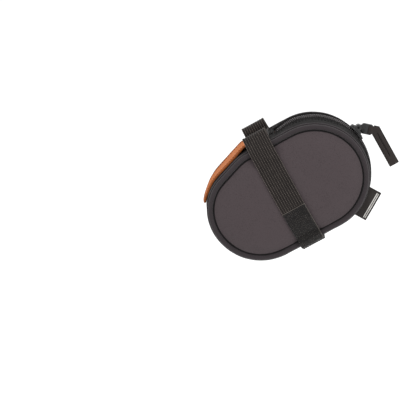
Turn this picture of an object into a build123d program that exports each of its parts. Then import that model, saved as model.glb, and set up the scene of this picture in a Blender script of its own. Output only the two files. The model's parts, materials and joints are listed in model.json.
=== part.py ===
from build123d import *
import os
from math import cos, radians, sin

# A saddle bag that hangs under two saddle rails, in millimetres.
#
# It is drawn lying level, in the bag's own frame: U runs rearward along the bag, Y to the
# right-hand side of the bicycle, W up at right angles to the rails.  place() then tilts it
# to the rails' slope, so that Z is up and the origin is midway between the two rails where
# the strap crosses them.

# ---- driving dimensions --------------------------------------------------------------
BAG_LENGTH = 124.6
REAR_RADIUS = 40.0
FRONT_RADIUS = 39.5           # lower front corner
NOSE_RADIUS = 34.0            # upper front corner
NOSE_ANGLE = 168.0            # where the two front corners meet, degrees above U
SLOPE_NORMAL = 109.5          # which way the slanted front top faces, degrees above U
SHOULDER_RADIUS = 36.0        # between the slanted front top and the flat top
ROLL_CENTRE_Y = 27.0          # middle of the rolled edge, out from the bag's middle plane
ROLL_RADIUS = 2.1
DOME_HEIGHT = 7.2             # how far a side panel swells past its own edge
PANEL_THICKNESS = 3.0
GUSSET_THICKNESS = 1.2
FRONT_CROWN = 0.8             # how far the gusset's middle stands past its edges
REAR_CROWN = 2.5
RAIL_TILT = 28.8              # degrees, rear end up
RAIL_SPACING = 44.0
RAIL_RADIUS = 3.5
RAIL_HEIGHT = 85.5            # rail axis above the bag's lowest line
STRAP_U = 60.4                # middle of the strap along the bag
STRAP_WIDTH = 18.0
STRAP_THICKNESS = 1.3
PATCH_THICKNESS = 1.6
HINGE_U = 73.0                # the rear walls bend open here
HINGE_Y = 31.0
HINGE_GAP = 0.4
OPEN_ANGLE = 16.0
ZIP_GAP_HALF = 0.6            # half the slot between the two coils
COIL_WIDTH = 2.0
COIL_HEIGHT = 1.5
TAPE_THICKNESS = 0.6
TAPE_EDGE = 14.0              # outer edge of a zip tape, out from the middle plane
STRIP_EDGE = 12.0             # inner edge of a rear gusset strip
SLIDER_POLAR = 14.4           # where the slider rests, degrees above U about the rear centre
PIN_RADIUS = 0.9
PIN_CLEARANCE = 0.08

# ---- sizes that follow ---------------------------------------------------------------
BAG_HEIGHT = 2 * REAR_RADIUS
FRONT_CENTRE = (FRONT_RADIUS, FRONT_RADIUS)
REAR_CENTRE = (BAG_LENGTH - REAR_RADIUS, REAR_RADIUS)
GUSSET_EDGE = ROLL_CENTRE_Y - ROLL_RADIUS - 0.1
ROLL_INSET = 2 * ROLL_RADIUS
SLOPE = (cos(radians(SLOPE_NORMAL)), sin(radians(SLOPE_NORMAL)))
NOSE_CENTRE = (
    FRONT_CENTRE[0] + (FRONT_RADIUS - NOSE_RADIUS) * cos(radians(NOSE_ANGLE)),
    FRONT_CENTRE[1] + (FRONT_RADIUS - NOSE_RADIUS) * sin(radians(NOSE_ANGLE)),
)
SLOPE_REACH = NOSE_CENTRE[0] * SLOPE[0] + NOSE_CENTRE[1] * SLOPE[1] + NOSE_RADIUS
SHOULDER_W = BAG_HEIGHT - SHOULDER_RADIUS
SHOULDER_CENTRE = (
    (SLOPE_REACH - SHOULDER_RADIUS - SHOULDER_W * SLOPE[1]) / SLOPE[0], SHOULDER_W,
)
# The outline's arcs: centre, radius, first and last direction in degrees above U.  They run
# forward over the top, down round the front, back along the bottom and up round the rear.
SHOULDER = (SHOULDER_CENTRE, SHOULDER_RADIUS, 90.0, SLOPE_NORMAL)
NOSE = (NOSE_CENTRE, NOSE_RADIUS, SLOPE_NORMAL, NOSE_ANGLE)
HEEL = (FRONT_CENTRE, FRONT_RADIUS, NOSE_ANGLE, 270.0)
TAIL = (REAR_CENTRE, REAR_RADIUS, -90.0, 90.0)
TAPE_DROP = GUSSET_THICKNESS + 0.1
COIL_FOOT = REAR_RADIUS + REAR_CROWN - TAPE_DROP + 0.05
COIL_TOP = COIL_FOOT + COIL_HEIGHT


# ---- helpers -------------------------------------------------------------------------
def place(shape):
    """Turns a shape from the bag's own frame to the row's frame."""
    return Rot(0, -RAIL_TILT, 0) * Pos(-STRAP_U, 0, -RAIL_HEIGHT) * shape


def arc_points(arc, inset):
    """First, middle and last point of one of the outline's arcs, drawn inset by this much."""
    centre, radius, first, last = arc
    points = []
    for direction in (first, (first + last) / 2, last):
        angle = radians(direction)
        reach = radius - inset
        points.append((centre[0] + reach * cos(angle), centre[1] + reach * sin(angle)))
    return points


def at(point, y=0.0):
    """A point of the bag's side view, set at depth y."""
    return (point[0], y, point[1])


def chain(start, arcs, end, inset, y=0.0):
    """Edges from start along some of the outline's arcs to end, straight between them."""
    edges = []
    last = start
    for arc in arcs:
        first, middle, final = arc_points(arc, inset)
        if (Vector(*first) - Vector(*last)).length > 0.001:
            edges.append(Edge.make_line(at(last, y), at(first, y)))
        edges.append(Edge.make_three_point_arc(at(first, y), at(middle, y), at(final, y)))
        last = final
    if end is not None:
        edges.append(Edge.make_line(at(last, y), at(end, y)))
    return edges


def front_path(u_end, inset=0.0):
    """The outline from the top at u_end, round the front, to the bottom at u_end."""
    top = (u_end, BAG_HEIGHT - inset)
    return Wire(chain(top, (SHOULDER, NOSE, HEEL), (u_end, inset), inset))


def rear_path(u_start, inset=0.0):
    """The outline from the bottom at u_start, round the rear, to the top at u_start."""
    top = (u_start, BAG_HEIGHT - inset)
    return Wire(chain((u_start, inset), (TAIL,), top, inset))


def outline_face(inset, y):
    """The whole outline as a flat face at depth y."""
    start = arc_points(TAIL, inset)[2]
    return Face(Wire(chain(start, (SHOULDER, NOSE, HEEL, TAIL), None, inset, y)))


def outline_slab(inset, y_low, y_high):
    """The outline as a plate between two depths."""
    return extrude(outline_face(inset, y_low), amount=y_high - y_low, dir=(0, 1, 0))


def crown_height(y, crown):
    """How far the gusset's outer face stands past the outline at y."""
    return crown * (1 - (y / GUSSET_EDGE) ** 2)


def band(path, start_outward, y_low, y_high, crown, drop, thickness):
    """A crowned band swept along the outline; start_outward points out at the path's start."""
    mid = (y_low + y_high) / 2
    corners = [(y, crown_height(y, crown) - drop) for y in (y_low, mid, y_high)]
    inner = [(y, height - thickness) for y, height in corners]
    start = path @ 0
    plane = Plane(origin=start, x_dir=(0, 1, 0), z_dir=Vector(0, 1, 0).cross(start_outward) * -1)
    rise = 1 if plane.y_dir.dot(start_outward) > 0 else -1

    def spot(pair):
        return plane.from_local_coords((pair[0], rise * pair[1], 0))

    section = Face(Wire([
        Edge.make_three_point_arc(*(spot(pair) for pair in corners)),
        Edge.make_line(spot(corners[2]), spot(inner[2])),
        Edge.make_three_point_arc(*(spot(pair) for pair in reversed(inner))),
        Edge.make_line(spot(inner[0]), spot(corners[0])),
    ]))
    return sweep(section, path=path)


def front_band(u_end, y_low, y_high, drop, thickness):
    """A band on the fixed part of the bag."""
    outward = Vector(0, 0, 1)
    return band(front_path(u_end), outward, y_low, y_high, FRONT_CROWN, drop, thickness)


def rear_band(u_start, y_low, y_high, drop, thickness):
    """A band on a rear wall."""
    outward = Vector(0, 0, -1)
    return band(rear_path(u_start), outward, y_low, y_high, REAR_CROWN, drop, thickness)


def roll(path):
    """The rolled edge along a path drawn at the roll's middle, on the left-hand side."""
    moved = Pos(0, -ROLL_CENTRE_Y, 0) * path
    section = Plane(origin=moved @ 0, z_dir=moved % 0) * Circle(ROLL_RADIUS)
    return sweep(section, path=moved)


def mirrored(shape):
    """The same piece on the other side of the bag."""
    return mirror(shape, about=Plane.XZ)


def dome(first_inset, edge_y, height, foot_y):
    """A domed plate on the right-hand side, from foot_y out to edge_y plus height."""
    last_inset = FRONT_RADIUS - 8.0
    steps = 5
    faces = [outline_face(first_inset, foot_y)]
    for step in range(steps + 1):
        run = step / steps
        inset = first_inset + (last_inset - first_inset) * run ** 1.6
        share = (inset - first_inset) / (last_inset - first_inset)
        faces.append(outline_face(inset, edge_y + height * (1 - (1 - share) ** 2.4)))
    return loft(faces, ruled=True)


def half_space(front, rear_edge):
    """A block that takes the front or the rear of the bag at a slanted joint line."""
    lean = 0.35
    far = 60.0
    sign = -1 if front else 1
    outer = rear_edge + (-lean * 8 if front else 0)
    profile = Polyline(
        (rear_edge, -HINGE_Y + 2), (outer, -HINGE_Y - 8), (rear_edge + sign * 200, -HINGE_Y - 8),
        (rear_edge + sign * 200, far), (rear_edge, far), close=True,
    )
    return Pos(0, 0, -40) * extrude(make_face(profile), amount=200, dir=(0, 0, 1))


def ribbon(points, thickness, radius, width, middle):
    """A flat ribbon of this width along U whose run is drawn across the bag (Y, W)."""
    run = FilletPolyline(*points, radius=radius)
    face = trace(run, line_width=thickness)
    upright = Plane(origin=(middle - width / 2, 0, 0), x_dir=(0, 1, 0), z_dir=(1, 0, 0))
    return extrude(upright * face, amount=width, dir=(1, 0, 0))


# ---- the fixed part of the bag -------------------------------------------------------
def side_panel():
    """The whole right-hand side panel: a domed shell of foam cloth."""
    outer = dome(ROLL_INSET + 0.2, ROLL_CENTRE_Y + 1.0, DOME_HEIGHT, GUSSET_EDGE + 0.3)
    inset = ROLL_INSET + 0.2 + PANEL_THICKNESS
    hollow = dome(inset, ROLL_CENTRE_Y + 1.0 - PANEL_THICKNESS, DOME_HEIGHT, GUSSET_EDGE)
    return outer - hollow


def lining_sheet():
    """The lining's sheet behind the whole left-hand side panel."""
    return outline_slab(GUSSET_THICKNESS + 0.65, 0.5 - GUSSET_EDGE, 1.0 - GUSSET_EDGE)


def front_lining():
    """Lining of the fixed part: a sheet each side and a band between them."""
    sheet = lining_sheet() & half_space(True, HINGE_U - HINGE_GAP)
    edge = GUSSET_EDGE - 0.5
    belt = front_band(HINGE_U - HINGE_GAP, -edge, edge, GUSSET_THICKNESS + 0.15, 0.5)
    return belt + sheet + mirrored(sheet)


def zip_end_tab(top):
    """A small cloth tab sewn over one end of the zip, on the fixed part."""
    length, width, thickness = 2.8, 14.0, 1.0
    middle = HINGE_U - HINGE_GAP - 0.1 - length / 2
    rise = FRONT_CROWN + 0.05 + thickness / 2
    height = BAG_HEIGHT + rise if top else -rise
    return Pos(middle, 0, height) * Box(length, width, thickness)


# ---- the strap -----------------------------------------------------------------------
RAIL_Y = RAIL_SPACING / 2
LOOP_MID = RAIL_RADIUS + STRAP_THICKNESS / 2
ANCHOR_FOOT = 80.95
ANCHOR_MID = ANCHOR_FOOT + STRAP_THICKNESS / 2
ARM_JOINT_W = RAIL_HEIGHT
PATCH_TOP = 28.7              # where the near arm's elastic ends and its loop patch begins
PATCH_MID = -1.95
HOOK_MID = -3.75
TAIL_HINGE = (28.4, HOOK_MID)
TAIL_END_Y = -26.5


def strap_anchor():
    """The sewn patch between the rails that the strap's two arms start from."""
    reach = RAIL_Y - LOOP_MID - 1.2
    return Pos(STRAP_U, 0, ANCHOR_MID) * Box(STRAP_WIDTH, 2 * reach, STRAP_THICKNESS)


def strap_loop():
    """The elastic from the anchor over the left-hand rail, 140 degrees round it."""
    inner_y = -RAIL_Y + LOOP_MID
    stop = radians(220 - 180)
    last = (-RAIL_Y - LOOP_MID * cos(stop), RAIL_HEIGHT + LOOP_MID * sin(stop))
    over = (-RAIL_Y, RAIL_HEIGHT + LOOP_MID)
    start = (inner_y + 1.0, ANCHOR_MID)
    corner = (inner_y, ANCHOR_MID + 1.0)
    foot = (inner_y, RAIL_HEIGHT)
    run = [
        Line((inner_y + 1.15, ANCHOR_MID), start),
        ThreePointArc(start, (inner_y + 0.293, ANCHOR_MID + 0.293), corner),
        Line(corner, foot),
        ThreePointArc(foot, over, last),
    ]
    face = trace(run, line_width=STRAP_THICKNESS)
    upright = Plane(origin=(STRAP_U - STRAP_WIDTH / 2, 0, 0), x_dir=(0, 1, 0), z_dir=(1, 0, 0))
    return extrude(upright * face, amount=STRAP_WIDTH, dir=(1, 0, 0))


def arm_run(end_w):
    """Run of a strap arm's middle line, from the rail's outer side down to end_w."""
    run = [(RAIL_Y + LOOP_MID, ARM_JOINT_W), (31.6, 77.5), (34.8, 66.0), (36.9, 52.0), (36.9, 31.0)]
    if end_w > 10:
        run[-1] = (36.9, end_w)
    else:
        run += [(35.6, 15.0), (31.2, end_w)]
    return run


def elastic_arm():
    """The near arm's ribbed elastic, left-hand side."""
    shape = ribbon(arm_run(PATCH_TOP), STRAP_THICKNESS, 6.0, STRAP_WIDTH, STRAP_U)
    return mirrored(shape)


def loop_patch():
    """The near arm's loop cloth: down the side and under the bottom."""
    points = [
        (36.9, PATCH_TOP - 0.05), (35.9, 14.0), (30.6, PATCH_MID), (-2.0, PATCH_MID),
    ]
    shape = ribbon(points, PATCH_THICKNESS, 4.0, STRAP_WIDTH, STRAP_U)
    return mirrored(shape)


def far_arm():
    """The far arm, right-hand side, down to the bottom edge."""
    return ribbon(arm_run(0.6), STRAP_THICKNESS, 6.0, STRAP_WIDTH, STRAP_U)


def strap_tail():
    """The far arm's free end, under the bottom towards the near side."""
    length = TAIL_HINGE[0] - TAIL_END_Y
    middle = (TAIL_HINGE[0] + TAIL_END_Y) / 2
    return Pos(STRAP_U, middle, HOOK_MID - 0.3) * Box(STRAP_WIDTH, length, 0.9)


def hook_patch():
    """The hook cloth sewn on the tail's upper face."""
    length, width = 34.0, STRAP_WIDTH - 1.0
    middle = TAIL_END_Y + 0.8 + length / 2
    return Pos(STRAP_U, middle, HOOK_MID + 0.4) * Box(width, length, 0.5)


# ---- the guard flap and the label ----------------------------------------------------
GUARD_THICKNESS = 1.6
GUARD_NECK_HALF_WIDTH = 11.5  # between the strap's two loops
GUARD_HALF_WIDTH = 19.5
GUARD_TIP_HALF_WIDTH = 10.0


def guard_flap():
    """The orange flap: sewn on the anchor, over the bag's front top, its lower end free."""
    path = Spline(
        (67.0, 83.25), (58.0, 83.25), (50.5, 83.0), (43.5, 81.75), (36.9, 79.8), (29.5, 77.2),
        (22.1, 74.6), (16.1, 71.85), (11.0, 68.3), (6.4, 63.9), (3.3, 59.9),
    )
    face = Plane.XZ.offset(-GUARD_HALF_WIDTH) * trace(path, line_width=GUARD_THICKNESS)
    sheet = extrude(face, amount=2 * GUARD_HALF_WIDTH, dir=(0, -1, 0))
    neck, half, tip = GUARD_NECK_HALF_WIDTH, GUARD_HALF_WIDTH, GUARD_TIP_HALF_WIDTH
    plan = Polyline(
        (80, neck), (52, neck), (46, half), (20, half), (3, tip), (0, tip), (0, -tip),
        (3, -tip), (20, -half), (46, -half), (52, -neck), (80, -neck), close=True,
    )
    cutter = extrude(make_face(plan), amount=120, dir=(0, 0, 1))
    return sheet & cutter


def label_tab():
    """The folded label, caught in the left-hand seam at the lower rear."""
    polar, reach, thickness = -58.0, 48.8, 1.2
    low, high = -9.8, 13.6
    plate = Box(reach - 36, thickness, high - low, align=(Align.MAX, Align.CENTER, Align.MIN))
    plate = Pos(REAR_CENTRE[0], 0.8 - GUSSET_EDGE, REAR_CENTRE[1]) * Rot(0, -polar, 0) * (
        Pos(reach, 0, low) * plate
    )
    core = Cylinder(REAR_RADIUS + crown_height(GUSSET_EDGE - 1.4, REAR_CROWN) + 0.05, 100)
    return plate - Pos(REAR_CENTRE[0], 0, REAR_CENTRE[1]) * Rot(90, 0, 0) * core


# ---- the zip -------------------------------------------------------------------------
def on_rear(polar, reach, y=0.0):
    """A point about the rear centre, polar degrees above U."""
    angle = radians(polar)
    return (REAR_CENTRE[0] + reach * cos(angle), y, REAR_CENTRE[1] + reach * sin(angle))


def arc_block(polar_low, polar_high, inner, outer, half_width):
    """A curved block about the rear centre, between two polar angles."""
    mid = (polar_low + polar_high) / 2
    y = -half_width
    face = Face(Wire([
        Edge.make_three_point_arc(
            on_rear(polar_low, outer, y), on_rear(mid, outer, y), on_rear(polar_high, outer, y)
        ),
        Edge.make_line(on_rear(polar_high, outer, y), on_rear(polar_high, inner, y)),
        Edge.make_three_point_arc(
            on_rear(polar_high, inner, y), on_rear(mid, inner, y), on_rear(polar_low, inner, y)
        ),
        Edge.make_line(on_rear(polar_low, inner, y), on_rear(polar_low, outer, y)),
    ]))
    return extrude(face, amount=2 * half_width, dir=(0, 1, 0))


SLIDER_HALF_ANGLE = 8.0
SLIDER_TOP = COIL_TOP + 0.35
SLIDER_PLATE = 1.1
PIN_POLAR = SLIDER_POLAR + 2.0
PIN_REACH = SLIDER_TOP + SLIDER_PLATE + 2.6
TAB_THICKNESS = 2.6


def slider_body():
    """Upper and lower plates, the post between them, and two lugs for the pin."""
    low = SLIDER_POLAR - SLIDER_HALF_ANGLE
    high = SLIDER_POLAR + SLIDER_HALF_ANGLE
    tape_foot = REAR_RADIUS + REAR_CROWN - TAPE_DROP - TAPE_THICKNESS
    upper = arc_block(low, high, SLIDER_TOP, SLIDER_TOP + SLIDER_PLATE, 4.6)
    lower = arc_block(low, high, tape_foot - 1.3, tape_foot - 0.45, 4.2)
    post = arc_block(high - 4.0, high - 0.5, tape_foot - 0.6, SLIDER_TOP + 0.2, 0.3)
    body = upper + lower + post
    for side in (-1, 1):
        lug = Cylinder(1.9, 1.0) + Pos(0, 1.5, 0) * Box(3.8, 3.0, 1.0)
        lug = Rot(0, 90 - PIN_POLAR, 0) * Rot(90, 0, 0) * (Rot(0, 0, 180) * lug)
        centre = on_rear(PIN_POLAR, PIN_REACH, side * (TAB_THICKNESS / 2 + 0.35 + 0.5))
        body += Pos(*centre) * lug
    hole = Pos(*on_rear(PIN_POLAR, PIN_REACH)) * Rot(90, 0, 0) * Cylinder(PIN_RADIUS, 20)
    return body - hole


def slider_pin():
    """The pin pressed into the slider's lugs."""
    return Pos(*on_rear(PIN_POLAR, PIN_REACH)) * Rot(90, 0, 0) * Cylinder(PIN_RADIUS, 5.3)


# The pull hangs in the bag's middle plane.  Its points are given from the pin, level with the
# ground: X rearward, Z up.
TAB_ANGLE = -12.0
TAB_NECK = 3.2
TAB_LENGTH = 10.3
TAB_HEIGHT = 7.0
EYE_RADIUS = 2.2
BAR_REACH = 9.0
BAR_RADIUS = 0.7
WINDOW_LENGTH = 5.0
ARM_HEIGHT = 0.8
LOOP_RADIUS = 1.9
PULL_WIDTH = 7.3
PULL_THICKNESS = 1.4
PULL_ANGLE = -61.0
PULL_START = 11.2
PULL_KNEE = 13.3
PULL_LENGTH = 28.7


def from_pin(shape):
    """Sets a shape drawn level from the pin into the bag's own frame."""
    centre = on_rear(PIN_POLAR, PIN_REACH)
    return Pos(*centre) * Rot(0, RAIL_TILT, 0) * shape


def pull_tab():
    """The moulded tab: an eye on the pin, a neck, and an end bar in a window for the tape."""
    body_length = TAB_LENGTH - TAB_NECK
    plate = Pos(TAB_NECK + body_length / 2, 0, 0) * Box(body_length, TAB_THICKNESS, TAB_HEIGHT)
    neck = Pos(TAB_NECK / 2 + 0.2, 0, 0) * Box(TAB_NECK + 0.4, TAB_THICKNESS, 2 * EYE_RADIUS)
    eye = Rot(90, 0, 0) * Cylinder(EYE_RADIUS, TAB_THICKNESS)
    window = Pos(BAR_REACH, 0, 0) * Box(WINDOW_LENGTH, 10, TAB_HEIGHT - 2 * ARM_HEIGHT)
    bar = Pos(BAR_REACH, 0, 0) * Cylinder(BAR_RADIUS, TAB_HEIGHT - ARM_HEIGHT)
    hole = Rot(90, 0, 0) * Cylinder(PIN_RADIUS + PIN_CLEARANCE, 10)
    return from_pin(Rot(0, -TAB_ANGLE, 0) * (plate + neck + eye - window + bar - hole))


def pull_outline():
    """The tape's flat outline with its mitred turn, level, from the pin: (X, Z) points."""
    first, second = radians(TAB_ANGLE), radians(PULL_ANGLE)
    half = PULL_WIDTH / 2
    start = Vector(PULL_START * cos(first), PULL_START * sin(first))
    knee = Vector(PULL_KNEE * cos(first), PULL_KNEE * sin(first))
    end = knee + Vector(PULL_LENGTH * cos(second), PULL_LENGTH * sin(second))
    out_first = Vector(-sin(first), cos(first)) * half
    out_second = Vector(-sin(second), cos(second)) * half
    share = 1 + out_first.dot(out_second) / half ** 2
    mitre = (out_first + out_second) * (1 / share)
    return [
        start + out_first, knee + mitre, end + out_second,
        end - out_second, knee - mitre, start - out_first,
    ]


def pull_tape():
    """The doubled tape: a loop round the tab's bar, a mitred turn, then a straight length."""
    loop_height = TAB_HEIGHT - 2 * ARM_HEIGHT - 0.7
    hollow = Cylinder(BAR_RADIUS + 0.35, loop_height + 1)
    neck_start = BAR_REACH + BAR_RADIUS + 0.6
    neck_length = PULL_START + 0.1 - neck_start
    neck = Pos(neck_start + neck_length / 2, 0, 0) * Box(neck_length, PULL_THICKNESS, loop_height)
    loop = Pos(BAR_REACH, 0, 0) * Cylinder(LOOP_RADIUS, loop_height) + neck
    loop -= Pos(BAR_REACH, 0, 0) * hollow
    corners = [(point.X, point.Y) for point in pull_outline()]
    face = Plane.XZ.offset(-PULL_THICKNESS / 2) * make_face(Polyline(*corners, close=True))
    strip = extrude(face, amount=PULL_THICKNESS, dir=(0, -1, 0))
    return from_pin(Rot(0, -TAB_ANGLE, 0) * loop + strip)


# ---- all pieces ----------------------------------------------------------------------
def bag_pieces():
    """Pieces of the fixed part."""
    edge = HINGE_U - HINGE_GAP
    panel = side_panel() & mirrored(half_space(True, edge))
    binding = roll(front_path(edge, ROLL_RADIUS))
    return {
        "side_panel_left_front": mirrored(panel),
        "side_panel_right_front": panel,
        "edge_binding_left_front": binding,
        "edge_binding_right_front": mirrored(binding),
        "gusset_front": front_band(edge, -GUSSET_EDGE, GUSSET_EDGE, 0.0, GUSSET_THICKNESS),
        "lining_front": front_lining(),
        "zip_end_tab_top": zip_end_tab(True),
        "zip_end_tab_bottom": zip_end_tab(False),
        "strap_anchor": strap_anchor(),
        "strap_loop_left": strap_loop(),
        "strap_loop_right": mirrored(strap_loop()),
        "strap_arm_right": far_arm(),
        "guard_flap": guard_flap(),
    }


def wall_pieces(side):
    """Pieces of one rear wall, which bends open at HINGE_U."""
    edge = GUSSET_EDGE
    panel = mirrored(side_panel()) & half_space(False, HINGE_U)
    binding = roll(rear_path(HINGE_U, ROLL_RADIUS))
    strip = rear_band(HINGE_U, -edge, -STRIP_EDGE, 0.0, GUSSET_THICKNESS)
    tape = rear_band(
        HINGE_U, -TAPE_EDGE, -ZIP_GAP_HALF - 0.8, TAPE_DROP, TAPE_THICKNESS
    )
    coil = rear_band(
        HINGE_U + 3, -ZIP_GAP_HALF - COIL_WIDTH, -ZIP_GAP_HALF, TAPE_DROP - COIL_HEIGHT - 0.05,
        COIL_HEIGHT,
    )
    sheet = lining_sheet() & half_space(False, HINGE_U)
    belt = rear_band(HINGE_U, 0.5 - edge, -TAPE_EDGE - 0.3, GUSSET_THICKNESS + 0.15, 0.5)
    pieces = {
        f"side_panel_{side}_rear": panel,
        f"edge_binding_{side}_rear": binding,
        f"gusset_rear_{side}": strip,
        f"zip_tape_{side}": tape,
        f"zip_coil_{side}": coil,
        f"lining_{side}": belt + sheet,
    }
    if side == "right":
        pieces = {name: mirrored(shape) for name, shape in pieces.items()}
    return pieces


def all_pieces():
    """Every piece, by node name, in the bag's own frame."""
    pieces = bag_pieces()
    pieces.update(wall_pieces("left"))
    pieces.update(wall_pieces("right"))
    pieces["label_tab"] = label_tab()
    pieces["slider_body"] = slider_body()
    pieces["slider_pin"] = slider_pin()
    pieces["pull_tab"] = pull_tab()
    pieces["pull_tape"] = pull_tape()
    pieces["elastic_arm_left"] = elastic_arm()
    pieces["loop_patch"] = loop_patch()
    pieces["strap_tail"] = strap_tail()
    pieces["hook_patch"] = hook_patch()
    return pieces


os.makedirs("parts", exist_ok=True)
for node, piece in all_pieces().items():
    export_step(place(piece), f"parts/{node}.step")
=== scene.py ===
"""A saddle bag: domed foam-cloth sides, a coil zip round the rear, and an elastic rail strap."""
import json
import logging
import math
from dataclasses import dataclass, field
from enum import Enum
from functools import cached_property, lru_cache
from typing import Callable, Sequence

import bmesh
import bpy
from mathutils import Matrix, Vector, noise
from mathutils.bvhtree import BVHTree


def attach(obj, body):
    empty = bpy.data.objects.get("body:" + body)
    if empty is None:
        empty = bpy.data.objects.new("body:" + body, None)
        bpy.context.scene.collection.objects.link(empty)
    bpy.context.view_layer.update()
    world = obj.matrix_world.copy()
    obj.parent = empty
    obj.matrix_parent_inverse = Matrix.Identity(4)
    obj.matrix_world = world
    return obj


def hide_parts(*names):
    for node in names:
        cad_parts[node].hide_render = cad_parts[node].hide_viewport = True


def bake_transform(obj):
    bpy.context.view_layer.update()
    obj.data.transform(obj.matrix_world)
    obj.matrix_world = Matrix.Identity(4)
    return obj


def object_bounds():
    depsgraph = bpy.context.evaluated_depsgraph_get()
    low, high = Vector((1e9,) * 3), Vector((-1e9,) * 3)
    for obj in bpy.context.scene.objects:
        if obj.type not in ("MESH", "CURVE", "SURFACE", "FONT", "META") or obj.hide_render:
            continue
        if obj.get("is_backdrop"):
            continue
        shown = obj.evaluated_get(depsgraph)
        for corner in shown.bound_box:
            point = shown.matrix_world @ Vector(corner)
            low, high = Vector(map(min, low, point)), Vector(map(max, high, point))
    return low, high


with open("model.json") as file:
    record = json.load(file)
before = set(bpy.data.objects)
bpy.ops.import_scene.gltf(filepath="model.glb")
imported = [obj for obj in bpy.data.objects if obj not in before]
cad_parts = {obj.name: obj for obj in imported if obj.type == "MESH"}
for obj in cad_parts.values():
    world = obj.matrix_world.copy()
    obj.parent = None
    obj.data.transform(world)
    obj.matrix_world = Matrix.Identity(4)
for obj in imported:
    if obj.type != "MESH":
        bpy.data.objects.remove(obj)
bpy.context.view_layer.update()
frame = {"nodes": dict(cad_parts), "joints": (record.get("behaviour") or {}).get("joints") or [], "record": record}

MM = 0.001
LOG = logging.getLogger("saddle_bag")
Ring = list[Vector]


class Side(Enum):
    """The two sides of the bag, with the sign of Y on each."""

    LEFT = -1
    RIGHT = 1


# ---- the frame ------------------------------------------------------------------------
def joint(name: str) -> dict:
    """One joint of the frame.

    Args:
        name: the joint's name.

    Returns:
        The joint's entry in the record.
    """
    return next(entry for entry in frame["joints"] if entry["name"] == name)


def mount(name: str) -> dict:
    """One mount of the frame.

    Args:
        name: the mount's name.

    Returns:
        The mount's entry in the record.
    """
    return next(entry for entry in frame["record"]["mounts"] if entry["name"] == name)


@dataclass(frozen=True)
class BagFrame:
    """The bag's own level frame: U rearward, Y to the right, W up at right angles to the rails."""

    strap_u: float = 60.4 * MM
    rail_w: float = 85.5 * MM

    @property
    def matrix(self) -> Matrix:
        """Turns points of the bag's frame to the row's frame."""
        u_axis = Vector(mount("rail_loop_left")["axis"])
        w_axis = Vector(mount("saddle_rails")["axis"])
        origin = Vector(mount("saddle_rails")["pos_m"])
        turn = Matrix((u_axis, Vector((0, 1, 0)), w_axis)).transposed().to_4x4()
        return Matrix.Translation(origin) @ turn @ Matrix.Translation(
            Vector((-self.strap_u, 0, -self.rail_w))
        )

    def to_bag(self, point: Sequence[float]) -> Vector:
        """A point of the row's frame in the bag's frame.

        Args:
            point: the point, in metres.

        Returns:
            The same point in the bag's frame.
        """
        return self.matrix.inverted() @ Vector(point)


BAG = BagFrame()
STRAP_U = BAG.strap_u
HINGE_U = BAG.to_bag(joint("mouth_left_open")["pos_m"]).x
REAR_CENTRE = BAG.to_bag(joint("zip_run")["pos_m"])
PIN = BAG.to_bag(joint("pull_flip")["pos_m"])


# ---- mesh helpers -----------------------------------------------------------------------
def deselect_all() -> None:
    """Leaves edit mode and selects nothing."""
    if bpy.context.object and bpy.context.object.mode != "OBJECT":
        bpy.ops.object.mode_set(mode="OBJECT")
    bpy.ops.object.select_all(action="DESELECT")


def make_active(piece: bpy.types.Object) -> None:
    """Selects one piece alone.

    Args:
        piece: the piece.
    """
    deselect_all()
    piece.select_set(True)
    bpy.context.view_layer.objects.active = piece


def add_modifier(piece: bpy.types.Object, kind: str, **settings) -> None:
    """Adds a modifier and applies it.

    Args:
        piece: the piece.
        kind: the modifier's type.
        **settings: its settings.
    """
    make_active(piece)
    bpy.ops.object.modifier_add(type=kind)
    modifier = piece.modifiers[-1]
    for key, value in settings.items():
        setattr(modifier, key, value)
    bpy.ops.object.modifier_apply(modifier=modifier.name)


def smooth(piece: bpy.types.Object, degrees: float = 40.0) -> None:
    """Shades a piece smooth except over sharp edges.

    Args:
        piece: the piece.
        degrees: the angle past which an edge stays sharp.
    """
    make_active(piece)
    bpy.ops.object.shade_smooth_by_angle(angle=math.radians(degrees))


def outward(piece: bpy.types.Object) -> None:
    """Merges doubles and turns all faces outward.

    Args:
        piece: the piece.
    """
    mesh = bmesh.new()
    mesh.from_mesh(piece.data)
    bmesh.ops.remove_doubles(mesh, verts=mesh.verts, dist=1e-6)
    bmesh.ops.recalc_face_normals(mesh, faces=mesh.faces)
    mesh.to_mesh(piece.data)
    mesh.free()


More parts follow.
